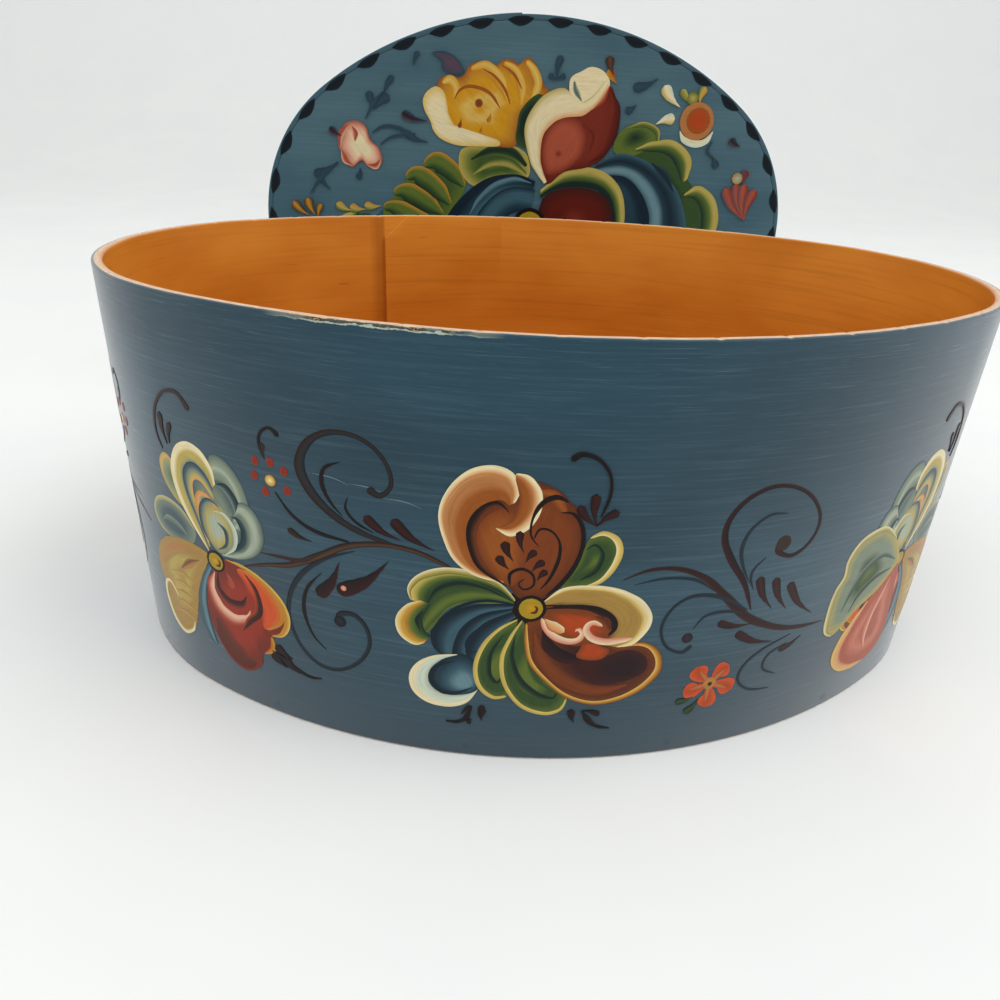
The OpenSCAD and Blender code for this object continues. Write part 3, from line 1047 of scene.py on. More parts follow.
def bell_flower(p):
    """The flower at each shoulder: pale lobes above, a red petal and an ochre one below."""
    # little lobes at the outer side
    p.petal([(-108, 58), (-112.6, 60), (-116.4, 64.6), (-116.6, 69.4), (-114, 72), (-111.4, 70.6),
             (-110, 65), (-107, 60)], (-112.6, 66), (STRAW, SAGE, LEAF))
    p.stroke([(-116.6, 65), (-116.4, 69.6), (-114, 72), (-111.4, 71)], (0.4, 1.3, 1.5, 0.4), (STRAW, PEACH))
    upper = [(-106, 52), (-111, 57), (-117, 58.2), (-122, 56.4), (-124.4, 52.6), (-122.6, 48.4),
             (-117, 46.4)]
    p.petal(upper + [(-109, 46.6)], (-115, 52), (SAGE, STEEL, STEEL))
    p.stroke(upper, (0.4, 1.1, 1.3, 1.5, 1.3, 1, 0.3), (SAGE, STRAW, MIST))
    p.stroke([(-109, 49), (-113.6, 51.6), (-118, 52), (-120.6, 50.4)], (0.3, 2, 2.4, 0.5), (STEEL, SAGE))
    # grey-green lobes at the inner side, over their shadow
    p.petal([(-99, 47.6), (-104, 56), (-108, 66), (-106, 75), (-98, 75.6), (-92, 73), (-88, 66), (-84, 60),
             (-85, 53), (-92, 48.6)], (-97, 60), (STEEL, STEEL, SAGE, STEEL))
    far = [(-98, 71), (-96.4, 76.6), (-91.6, 76.4), (-87.6, 72.2), (-85.6, 67), (-85.6, 62), (-88, 57)]
    near = [(-97.6, 67), (-95.6, 69.4), (-93, 69), (-91, 66.6), (-90.6, 63.6), (-91.4, 60.6), (-93, 58)]
    p.between(far, near, (STEEL, SAGE, SAGE, MIST, SAGE, SAGE, STEEL))
    p.stroke([(-96, 68.6), (-92.6, 68.6), (-89.8, 65), (-89.8, 60.6)], (0.4, 2.6, 2.6, 0.4),
             (PINE, DUSK, SAGE))
    far = [(-90, 60), (-88.6, 65.4), (-85, 65.2), (-82.2, 61.4), (-81.8, 56), (-84.6, 51.2), (-90, 48.4),
           (-96, 47.6)]
    near = [(-91.4, 59), (-90.4, 61), (-88.6, 61), (-87.2, 58.4), (-87.4, 55), (-89.6, 52), (-93, 49.6),
            (-97, 48.2)]
    p.between(far, near, (STEEL, SAGE, MIST, MIST, SAGE, STEEL))
    p.stroke([(-92, 60.6), (-89.4, 60.6), (-87.6, 57.4), (-88.6, 53), (-93, 49.6)],
             (0.4, 2.6, 3, 2.6, 0.3), (SAGE, DUSK, PINE))
    p.petal([(-98, 48.4), (-101.6, 53), (-101.4, 60), (-98.4, 63.4), (-94.4, 62.6), (-91.4, 58.6),
             (-91.6, 53), (-94.4, 49.4)], (-98, 56), (SAGE, STRAW, MIST, MIST))
    p.stroke([(-98, 49), (-94.6, 51.4), (-94.2, 55.6), (-97, 57.6)], (0.3, 1.2, 1.6, 0.4),
             (STEEL, DUSK, SAGE))
    p.stroke([(-95.6, 48.2), (-91.8, 51.6), (-91.2, 56.6), (-94, 60.4), (-97.6, 60.6)],
             (0.3, 1, 1.5, 1.1, 0.3), (MIST, ICE))
    # cream top lobe with a peach inside
    rim = [(-101.6, 47.4), (-107.4, 55), (-111.2, 62), (-112.2, 69), (-109.4, 75.4), (-104.6, 78.2),
           (-99.6, 77), (-96.4, 73), (-95.8, 68.6)]
    fold = [(-101.6, 48.6), (-104.4, 56), (-107.2, 63.4), (-107.6, 68.6), (-105.6, 72), (-102.6, 73),
            (-99.8, 71.6), (-98, 69.4), (-97, 67.4)]
    pit = [(-100.8, 49), (-102.6, 56), (-104.2, 62.4), (-104.2, 66.4), (-102.8, 68.2), (-100.8, 68),
           (-99, 66.4), (-97.8, 65), (-97, 64)]
    p.between(rim, fold, (CREAM, CREAM, STRAW, STRAW, SAGE))
    p.between(fold, pit, (DUSK, STEEL, SAGE, STRAW, PEACH))
    p.stroke([(-101, 49.4), (-102.4, 56), (-103, 61.6), (-101.6, 64.4), (-98.6, 63.8), (-95.4, 60.6)],
             (0.4, 1.6, 2.6, 2.4, 1.4, 0.3), (OCHRE, PEACH, SAGE))
    p.stroke([(-100, 49.4), (-102.4, 54.6), (-102.2, 60.4), (-99.2, 63.4), (-95.6, 62.4)],
             (0.2, 1.2, 1.6, 1.4, 0.3), (DUSK, STEEL, SAGE))
    # ochre striped petal with a cream edge round its tip
    ochre = [(-102.4, 46.4), (-111, 47.6), (-119.6, 45.4), (-126.4, 40), (-128, 32), (-125, 26),
             (-125.6, 21), (-123.4, 16), (-118.6, 14), (-113.6, 16.4), (-110.8, 23), (-108.6, 31),
             (-106, 38), (-103.6, 42)]
    p.petal(ochre, (-115, 36), (TAN, TAN, STRAW, TAN))
    p.stroke([(-104, 45.4), (-112, 45), (-120, 42), (-124.6, 35)], (1, 4.4, 6, 3),
             (TAN, TAN, FAWN, TAN, TAN), cells=9)
    p.stroke([(-106, 43), (-110.6, 40.4), (-115, 37)], (0.6, 3, 1), (TAN, FAWN, TAWNY, TAN), cells=9)
    for k in range(5):
        y = 36 - 3.4 * k
        p.stroke([(-108.6 - 0.5 * k, y - 2), (-115 - 0.4 * k, y - 0.6), (-121.4, y - 2)], (0.3, 1.6, 0.3),
                 (TAN, STRAW, FAWN, TAN), cells=7)
    p.stroke([(-119, 26), (-122.4, 29.4), (-125.4, 28), (-126, 23), (-123.6, 17), (-118.8, 14),
              (-114, 16.6), (-112.6, 20)], (0.6, 1, 1.4, 1.7, 1.7, 1.6, 1.2, 0.4), (STRAW, CREAM, CREAM))
    # pale blue crescent behind the red petal
    p.between([(-102.4, 43.4), (-106.4, 37), (-109, 29.6), (-108.4, 21), (-104.6, 15.4)],
              [(-101.4, 42), (-104.4, 36), (-105.6, 29), (-105, 22), (-103.6, 16)],
              (STEEL, SLATE, SKY, STEEL))
    # red petal
    red = [(-96.3, 46.6), (-89.4, 46.3), (-83.1, 43.5), (-78.1, 38.5), (-76.7, 32.9), (-78.6, 28),
           (-82.3, 26.2), (-83, 21.6), (-86.3, 19.6), (-87.3, 14.8), (-93.1, 11.1), (-98.8, 13.3),
           (-103.2, 19.8), (-105.4, 27.3), (-104.4, 34.8), (-101.3, 41)]
    p.petal(red, (-91, 31), (BRICK, BRICK, RED, RED, RED))
    p.stroke([(-92, 45), (-85.6, 41), (-82, 34.6), (-84.6, 28.6)], (2, 8, 9, 3), (OCHRE, EMBER, EMBER, RED),
             cells=9)
    p.stroke([(-102, 26), (-98.6, 19), (-93.4, 15), (-89, 15.6)], (2, 6.4, 7, 3), (BRICK, CHESTNUT, GARNET),
             cells=9)
    p.stroke([(-95.6, 46.8), (-89.4, 46.2), (-83.1, 43.4), (-78.2, 38.5), (-76.9, 33), (-79, 28.4),
              (-82.4, 27)], (0.3, 1, 1.3, 1.6, 1.9, 1.8, 0.5), (BUTTER, OCHRE, OCHRE))
    p.stroke([(-82.6, 26.6), (-82.6, 22.4), (-85.6, 19.8)], (0.8, 2, 0.6), (OCHRE, OCHRE, ORANGE))
    p.stroke([(-100.4, 41.6), (-102.8, 36), (-100.6, 30), (-95.6, 27.6), (-90.4, 29.6), (-88.8, 33)],
             (0.6, 3, 4.4, 4.8, 3.4, 0.6), (PINK, PINK, CORAL, RED))
    p.stroke([(-99, 42), (-100, 37), (-96.6, 33.4), (-91.6, 34), (-89.6, 37.4)],
             (0.4, 1.8, 2.6, 2.4, 0.5), (PLUM, MAROON, RED))
    p.stroke([(-89.4, 44.4), (-86.2, 39.8), (-86, 33.6), (-89.6, 29.4), (-92.6, 25)],
             (0.4, 1.8, 2.6, 2.2, 0.4), (MAROON, MAROON, ORANGE))
    p.drop((-96, 43), (-94.4, 38), 3.6, (RED, CORAL, RED))
    button(p, (-99.4, 45), 3.3)


def side_leaf(p):
    """The rosy petal and the pale green leaf that lie over the right shoulder flower."""
    petal = [(-88, 35), (-83.4, 29), (-80, 22.4), (-79.8, 17.4), (-83, 13.4), (-89, 11), (-96, 10.4),
             (-103, 13), (-105.4, 21), (-103, 32), (-99.4, 44)]
    p.petal(petal, (-94, 24), (CORAL, CORAL, ROSE, CORAL, CORAL))
    p.stroke(petal[:7], (0.6, 2.2, 3.4, 3.8, 3.2, 2, 0.6), (BUTTER, PEACH, PEACH, CORAL))
    p.stroke([(-97.6, 40), (-92.6, 30), (-91.6, 22), (-94, 15.6)], (0.6, 2.6, 3, 0.8), (CORAL, ROSE, PINK))
    leaf = [(-99.4, 45.6), (-93.4, 54), (-86.4, 58.8), (-80.2, 58.8), (-75.4, 56.8), (-72.8, 52.4),
            (-73, 47.4), (-71, 43), (-70.4, 37), (-71.2, 30), (-74.4, 27.6), (-78.4, 30), (-83.4, 34),
            (-91.4, 37.6), (-97.6, 42.6)]
    p.petal(leaf, (-83, 46), (STRAW, SAGE, SAGE, MOSS, LEAF))
    p.stroke(leaf[1:11], (0.5, 1.4, 1.8, 1.8, 1.6, 1.4, 1.6, 1.8, 1.8, 0.8), (CREAM, STRAW, SAGE))
    p.stroke([(-97, 46), (-89, 50), (-82, 48), (-77.6, 42), (-75.4, 35)], (0.4, 1.6, 2.2, 2, 0.6),
             (SAGE, STEEL, MOSS))
    p.stroke([(-96, 43.6), (-88, 42.6), (-82, 39), (-79, 34)], (0.4, 1.6, 1.8, 0.5), (PINE, MOSS, SAGE))


def bell_tendril(p):
    """The tendril above the shoulder flower."""
    p.line([(-114.4, 73.6), (-116.2, 78), (-115.6, 83.4), (-113.1, 87.6), (-109.4, 90.4), (-105, 90.6),
            (-101.6, 87)], (0.3, 0.7, 0.8, 0.8, 0.8, 1, 1.5), BROWN)
    p.drops((BROWN, UMBER), ((-112, 75.6), (-113.4, 84), 2), ((-111, 76), (-109.8, 82), 1.8))


def bell_sprig(p):
    """The dark leaves below the shoulder flower."""
    p.line([(-83, 22), (-78.6, 20), (-75, 18), (-71, 16.8), (-67.6, 17.4)], (0.4, 1.4, 1.1, 0.8, 0.3),
           UMBER)
    p.drops((UMBER, PLUM, UMBER), ((-76.4, 21.2), (-81.6, 24.2), 2.8), ((-78.4, 17.6), (-82.8, 21.2), 3),
            ((-74.4, 17), (-79, 20.8), 3))


def dot_flower(p):
    """Six red touches round a yellow one, on a bent stem."""
    for place in ((-81.9, 78.5), (-77.5, 78.9), (-73.8, 77.3), (-73.3, 72.3), (-79.6, 70.8), (-82.5, 74.5)):
        p.dot(place, 1.0, (RED, BRICK), 1.3)
    p.dot((-77.9, 74.1), 1.5, (OCHRE, BUTTER, CREAM))
    p.line([(-79.4, 80.6), (-80.2, 83.6), (-79.4, 86.2), (-76.8, 87.8), (-74.4, 86)],
           (0.3, 0.8, 0.8, 0.7, 1.5), UMBER)
    p.drop((-79, 79.4), (-79.4, 83.6), 1.8, (UMBER, BROWN))
    p.line([(-76.9, 71.4), (-72.5, 66), (-66.3, 62.9), (-57.5, 61.8)], (0.3, 0.8, 1, 0.5), UMBER)
    p.drop((-67.6, 59.8), (-74.2, 62), 1.8, (BROWN, UMBER))


def left_scrolls(p):
    """The pair of brown scrolls between the shoulder flower and the big one."""
    p.stroke([(-89.6, 46.6), (-82, 49.4), (-74, 51.6), (-66, 56), (-58, 60.6), (-49, 62.6), (-41, 62),
              (-34.6, 59.6), (-29.6, 57)], (0.5, 1, 1.6, 2.1, 1.9, 1.5, 1.3, 1.2, 0.5),
             (UMBER, BROWN, TAWNY, UMBER))
    p.line([(-84, 52.6), (-78, 53), (-71, 53.6), (-65, 57)], (0.2, 0.9, 1.2, 0.4), BROWN)
    for place in ((-66, 78.4), (-57, 77.4), (-48.6, 75)):
        p.line([place, (place[0] + 5, place[1] - 0.2), (place[0] + 9, place[1] - 1.4)], (0.1, 0.3, 0.1),
               WORN)
    p.stroke([(-44.6, 62.8), (-53.1, 64.6), (-60.4, 67.8), (-66.4, 73), (-69.3, 79), (-68, 84.3),
              (-63.8, 88.4), (-57.6, 89.8), (-51.6, 88), (-47.6, 83.6), (-46.6, 78.6), (-49.2, 75.6),
              (-52.4, 77)], (0.3, 1.2, 1.7, 2.1, 2.6, 2.8, 2.2, 1.5, 1.1, 1, 1, 1.1, 2.1),
             (UMBER, BROWN, INK, UMBER))
    p.line([(-58.8, 68.4), (-62, 72), (-63.8, 76.4), (-62.8, 80.4), (-58.6, 82.6)],
           (0.2, 0.8, 1.2, 0.9, 0.2), UMBER)
    p.line([(-51, 65.4), (-55.6, 67.6), (-58, 70.8), (-57.2, 74)], (0.2, 0.7, 0.7, 0.2), UMBER)
    p.drops((UMBER, MAROON, UMBER), ((-44.4, 64.4), (-53.4, 69.6), 2.6),
            ((-36.4, 62.8), (-46.6, 69.8), 2.9))
    p.stroke([(-56, 59.6), (-63.6, 56), (-70.4, 50.6), (-74.8, 43.6), (-76.2, 35.8), (-74, 28), (-69, 22.6),
              (-62.8, 21.8), (-56.8, 25.6), (-53.4, 31.6), (-53.9, 37.2), (-57, 40.6), (-60.8, 40.2),
              (-61.6, 38)], (0.2, 0.8, 1.2, 1.5, 1.3, 1.1, 1, 1, 1, 1, 1.1, 1.1, 1.4, 1.8),
             (INK, INK, UMBER))
    p.dot((-61.1, 37.8), 1.7, (UMBER, INK))
    p.line([(-65.4, 51.4), (-70, 45.6), (-71.4, 38.6), (-69.4, 31.6), (-65.6, 27.6)],
           (0.2, 0.9, 1.1, 0.7, 0.2), UMBER)
    p.drops((MAROON, PLUM, UMBER), ((-60.4, 55.6), (-67, 44.2), 3.6), ((-47.6, 58.2), (-61.4, 46.8), 4.2))
    p.dot((-59.6, 48.2), 0.8, (ROSE, PINK))


def right_scrolls(p):
    """The pair of maroon scrolls to the right of the big flower."""
    p.stroke([(8.5, 57), (15, 59.6), (22.5, 59.4), (30, 56), (36.6, 49.8), (44, 42.6), (53.8, 37.4),
              (62.5, 35.2), (72, 34.6)], (0.3, 1, 1.5, 2, 2.6, 2.4, 1.8, 1.3, 0.3),
             (BROWN, PLUM, MAROON, BROWN))
    p.line([(11.6, 55.6), (19, 57), (27, 56), (33, 52)], (0.2, 0.7, 0.9, 0.3), INK)
    p.stroke([(45, 44.4), (41.2, 53), (36.3, 60), (33, 66.4), (33.2, 72), (37, 77), (43.1, 79.6),
              (49.6, 78.9), (55.8, 75.4), (60, 69.8), (60.2, 64.8), (57.5, 60.8), (53.6, 59.2), (49.4, 61),
              (49.2, 63.4)], (0.4, 1.3, 1.7, 2, 1.8, 1.5, 1.3, 1.1, 1, 1, 1, 1, 1, 1.2, 2),
             (MAROON, PLUM, UMBER))
    p.dot((50.4, 63.3), 2.2, (BROWN, BROWN))
    p.line([(42.6, 53), (39.6, 58.4), (38.2, 63.5), (39.8, 68.6), (44.4, 72), (49.6, 71.8)],
           (0.2, 0.8, 1.1, 0.9, 0.7, 0.2), INK)
    p.line([(44.4, 50.6), (42.8, 54), (43.1, 57), (46, 60)], (0.2, 0.7, 0.7, 0.2), INK)
    p.drops((PLUM, MAROON, UMBER), ((51.6, 43.6), (45.4, 54.4), 2.6), ((56.6, 42.4), (50.6, 53.2), 2.5),
            ((66.6, 38.6), (55.6, 50.8), 2.5))
    p.line([(44, 44.6), (38.1, 48.4), (32.5, 50.8), (26.9, 51), (22.4, 48), (20.3, 42.3), (22.3, 36.6),
            (26.9, 34), (29.6, 36)], (0.3, 1, 1.1, 1, 0.8, 0.8, 0.8, 0.8, 1.3), INK)
    p.dot((27.9, 38.4), 1.5, (PLUM, INK))
    p.line([(43.8, 43.6), (37.5, 45.3), (31.9, 44.7), (29, 41)], (0.2, 0.8, 0.8, 0.2), INK)
    p.drops((PLUM, MAROON), ((46, 40), (35.8, 42), 2.2), ((54.6, 32.4), (42, 37.8), 2.5))
    p.line([(60.6, 33.4), (52, 30.4), (47, 26.4), (46, 21.4), (50.4, 17.2), (57.5, 15.8)],
           (0.2, 0.6, 0.8, 0.8, 0.7, 0.2), INK)
    p.line([(60, 30.6), (54.4, 28), (53.6, 23.6), (58.8, 20.4)], (0.2, 0.7, 0.7, 0.2), INK)
    p.drop((64.6, 31.8), (57.6, 28.6), 2, (PLUM, MAROON))


def star_flower(p):
    """Five broad orange petals round a tan middle."""
    for x, y in ((33.4, 27), (41, 26.2), (42.8, 19.6), (36.9, 16), (31.3, 21)):
        p.drop((37.1, 22.3), (x + (x - 37.1) * 0.3, y + (y - 22.3) * 0.3), 6, (EMBER, ORANGE, EMBER))
        p.stroke([(37.1, 22.3), (x, y)], (1, 1.8, 0.6), (ORANGE, FAWN, ORANGE))
    p.dot((37.1, 22.3), 2, (FAWN, OCHRE))
    p.dot((37.2, 22.1), 0.7, (CHESTNUT, UMBER))
    p.drops((PINE, MOSS, PINE), ((34.6, 17.4), (31, 13), 2.6), ((33, 18.6), (27.8, 17.4), 2.2))


# What is painted round the wall: each group, where its own middle goes, mirrored or not
SHOULDER = -99.4
BIG = -12.9
SCROLLS = -60.0
MAROON_SCROLLS = 40.0
ROUND_THE_WALL = (
    ("front_flower", (front_flower, front_sprigs), BIG, BIG, False),
    ("left_flower", (bell_flower, bell_tendril, bell_sprig), SHOULDER, SHOULDER, False),
    ("left_scrolls", (left_scrolls, dot_flower), SCROLLS, SCROLLS, False),
    ("right_scrolls", (right_scrolls, star_flower), MAROON_SCROLLS, MAROON_SCROLLS, False),
    ("right_flower", (bell_flower, side_leaf, bell_tendril), SHOULDER, 103.0, True),
    ("right_end_scrolls", (right_scrolls, star_flower), MAROON_SCROLLS, 158.0, False),
    ("right_back_flower", (bell_flower, bell_tendril, bell_sprig), SHOULDER, 216.0, True),
    ("back_left_scrolls", (left_scrolls, dot_flower), SCROLLS, 308.0, False),
    ("back_flower", (front_flower, front_sprigs), BIG, 355.0, False),
    ("back_right_scrolls", (right_scrolls, star_flower), MAROON_SCROLLS, 408.0, False),
    ("left_back_flower", (bell_flower, bell_tendril, bell_sprig), SHOULDER, 508.0, False),
    ("left_end_scrolls", (left_scrolls, dot_flower), SCROLLS, 565.0, True),
)

for seed, (name, groups, own, at, flip) in enumerate(ROUND_THE_WALL):
    painter = Painter(wall, own, at, flip, seed=seed)
    for group in groups:
        group(painter)
    painter.piece(name, "box", "painted_band", strokes)


# ---------------------------------------------------------------------------------------
# The painted decoration on the lid. Places are in mm from the middle of the top.

LID_EDGE_DROPS = 38


def lid_border(p):
    """Half-moons set one behind the other just inside the edge."""
    for k in range(LID_EDGE_DROPS):
        s = ROUND * (k + 0.5) / LID_EDGE_DROPS
        flat = [oval(s + a, b) for a, b in ((-6.2, 1.6), (-3, 2.3), (0, 2.4), (3, 2.2), (6.2, 1.2))]
        round_side = [oval(s + a, b)
                      for a, b in ((-6.2, 1.3), (-3.6, -0.8), (0.4, -1.9), (3.8, -0.8), (6.2, 0.9))]
        p.between(flat, round_side, (NAVY, BLACK, BLACK, NAVY))


def lid_leaves(p):
    """Green leaves to both sides, each lobe one pull of a brush loaded from dark to yellow."""
    for tail, head in (((-78, 9), (-87, 9)), ((-86, 7), (-94.6, 8)), ((-93, 6), (-101.4, 9.4))):
        p.drop(tail, head, 4.6, (MOSS, STRAW, OCHRE))
    p.petal([(-34, 22), (-43, 31), (-55, 29), (-64, 23), (-71, 15), (-77, 7), (-75, 0), (-66, -4),
             (-54, -3.4), (-43, 6)], (-56, 14), (LEAF, MOSS, PINE))
    for path in (((-47, -2), (-62, 4.4), (-72, 8.6), (-77, 8)),
                 ((-46, 6), (-57, 13), (-66.4, 16.6), (-71.4, 15)),
                 ((-42, 11), (-51, 20), (-60, 25), (-65, 22.6)),
                 ((-35, 20), (-42, 27.4), (-50, 31.4), (-56, 29))):
        p.stroke(path, (3, 9, 10, 4), (PINE, MOSS, LEAF, LEAF, OCHRE), cells=9)
    near = [(-38, 30), (-37, 37.4), (-29, 39.6), (-19, 40.8), (-10, 40.2), (-3, 36), (-2, 26), (-14, 25),
            (-23, 23), (-30, 20.6), (-35, 24)]
    p.petal(near, (-20, 31), (STRAW, LEAF, MOSS, LEAF))
    p.stroke([(-32, 33), (-22, 37.8), (-11, 37.4), (-3, 31)], (1, 3.6, 4.4, 2), (MOSS, PINE, PINE, MOSS))
    p.stroke([(-31, 26), (-22, 31.6), (-12, 32), (-3, 27)], (1, 3.6, 4.4, 2), (MOSS, LEAF, STRAW, LEAF))
    p.petal([(44, 36), (52, 42), (66, 42), (78, 32), (88, 22), (95, 8), (93, -2), (85, -5), (76, 2),
             (62, 20), (50, 32)], (72, 26), (MOSS, MOSS, PINE))
    p.petal([(41.6, 40), (43, 47.6), (49, 52.6), (57, 53.8), (63, 51), (65, 46), (58, 41), (50, 38)],
            (52, 47), (LEAF, LEAF, MOSS, PINE))
    p.stroke([(48, 51), (56, 53), (63, 50), (64, 44)], (0.6, 2.6, 3, 1), (STRAW, LEAF, MOSS))
    p.stroke([(53, 41), (62, 43), (72, 42.6), (79, 36.6), (80.6, 27)], (1.5, 5, 7.4, 8.6, 4),
             (STRAW, STRAW, LEAF, MOSS, PINE), cells=9)
    p.stroke([(82, 20), (89, 21.6), (95, 17), (98, 9), (97, 1), (90, -6)], (2, 7.6, 9, 9.4, 8, 2),
             (STRAW, STRAW, LEAF, MOSS, PINE), cells=9)


def lid_blue_petals(p):
    """Blue petals to both sides, and the hooded red heart between them."""
    p.between([(2, 24), (-8, 27), (-22, 25), (-33, 18), (-42, 8), (-45, 0), (-40, -7)],
              [(0, 16), (-8, 17), (-16, 15), (-22, 10), (-26, 4), (-30, -1), (-37, -6.6)],
              (NAVY, NAVY, DUSK, SLATE, SLATE))
    p.between([(2, 20), (-8, 21), (-16, 18.6), (-23, 13), (-28, 6), (-29, -1), (-24, -6)],
              [(0, 8), (-6, 9), (-11, 7), (-14, 4), (-16, 0), (-18, -3), (-22, -5.6)],
              (NAVY, SLATE, SLATE, DUSK, NAVY))
    p.stroke([(0, 23), (-9, 24.4), (-19, 21), (-27, 14), (-32, 6)], (0.6, 3, 3.6, 3, 0.6),
             (DUSK, SLATE, SKY, SLATE))
    outer = [(34, 34), (45, 39), (57, 37), (68, 31.4), (77.4, 23), (83, 12.6), (85.4, 2), (78, -7)]
    pale = [(32, 31), (45, 33.6), (56, 31), (65, 24), (70.6, 15), (72.6, 6), (72, -1), (67, -7)]
    inner = [(34, 28), (45, 28.6), (52, 26.6), (59, 20), (63.6, 12), (65, 5), (64, -2), (59, -6.6)]
    deep = [(38, 22), (44, 22), (48, 20), (50, 16), (51, 10), (51, 4), (52, -2), (54, -6)]
    p.between(outer, pale, (SLATE, DUSK, NAVY, DUSK))
    p.between(pale, inner, (DUSK, SKY, SKY, SLATE))
    p.between(inner, deep, (NAVY, NAVY, DUSK, DUSK))
    p.stroke([(62, 35.4), (70, 29.4), (76, 21.6)], (1, 4.6, 1), (DUSK, NAVY, DUSK))
    hood = [(5, 20), (11.2, 25), (19.2, 30.4), (29.4, 31.8), (39, 29.4), (46.8, 22.8), (50.4, 14), (51, 3),
            (46, -7)]
    brim = [(5, 16), (10, 19.4), (17, 21.6), (26, 22.2), (35, 20.8), (41, 16), (44, 8), (44.4, 1),
            (42, -5.6)]
    p.between(hood, brim, (STRAW, STRAW, LEAF, PINE, PINE))
    p.petal([(-2, 0), (4, 8), (7, 16.6), (14.4, 20.6), (24.7, 21.9), (34.4, 20.5), (41, 16.4), (44.6, 8.4),
             (44, 1), (37, -4.6), (22, -6.6), (6, -5)], (24, 6), (MAROON, GARNET, GARNET, BRICK))


def lid_gold_flower(p):
    """A yellow flower: cream lobes on the left, golden ones above, brown arcs inside."""
    gold = [(-10, 40), (-20, 39.6), (-30, 39.2), (-38.6, 39.4), (-46.5, 41.6), (-51, 45.4), (-52.8, 50),
            (-55.6, 54.6), (-56.5, 59.2), (-54.4, 63), (-50, 65.4), (-48.6, 68.2), (-45, 70.4), (-40, 69.6),
            (-36.4, 71), (-34.4, 74.6), (-30, 77), (-25, 76.6), (-21, 75.6), (-17, 78.6), (-12.6, 78.4),
            (-9.6, 76.8), (-5.4, 80), (-1.6, 77.4), (1.2, 72.6), (3.6, 68), (6, 66), (1, 61), (-6, 55),
            (-8, 47)]
    p.petal(gold, (-28, 56), (COPPER, OCHRE, GOLD, GOLD, BUTTER, GOLD))
    p.petal([(-18, 40), (-28, 39.4), (-38.6, 39.4), (-46.5, 41.6), (-51, 45.4), (-52.8, 50), (-55.6, 54.6),
             (-56.5, 59.2), (-54.4, 63), (-50, 65.4), (-46, 63), (-44.6, 58), (-43, 52), (-38, 46),
             (-29, 44), (-19, 43)], (-47, 50), (BUTTER, CREAM, CREAM, CREAM))
    p.stroke([(-47, 67), (-43, 68.6), (-40, 65), (-41, 60)], (2, 4.4, 3.6, 1), (GOLD, BUTTER, GOLD))
    p.stroke([(-33, 73.6), (-26, 75), (-19, 70), (-14.6, 61)], (2.4, 5.4, 6, 1.6),
             (GOLD, BUTTER, GOLD, OCHRE))
    p.stroke([(-17, 77), (-12, 74.4), (-8, 68), (-7.6, 59)], (2.4, 4.6, 4.6, 1.4),
             (GOLD, BUTTER, GOLD, OCHRE))
    p.stroke([(-6, 78.4), (-2, 74.6), (0.4, 68.4), (-3, 60)], (2.4, 4, 4, 1.4), (GOLD, BUTTER, GOLD))
    p.line([(-27.4, 74), (-21.4, 71.2), (-16, 65.6), (-13, 59)], (0.5, 1.2, 1.4, 0.5), COPPER)
    p.line([(-18.2, 76), (-12, 72.6), (-7.4, 66)], (0.5, 1.3, 0.5), COPPER)
    p.line([(-41, 60), (-38.2, 64.4), (-33.2, 66.2), (-26.2, 65), (-21.8, 62.2), (-18, 57)],
           (0.5, 1.2, 1.6, 1.6, 1.4, 0.5), COPPER)
    p.dot((-28.7, 59), 2, (COPPER, RUST, RUST))
    p.drop((-37.6, 52), (-38.4, 47.4), 2, (COPPER, RUST))
    p.drops((GOLD, COPPER), ((-22.6, 55), (-24, 50.4), 2.6), ((-27, 49), (-27.4, 45.6), 2))


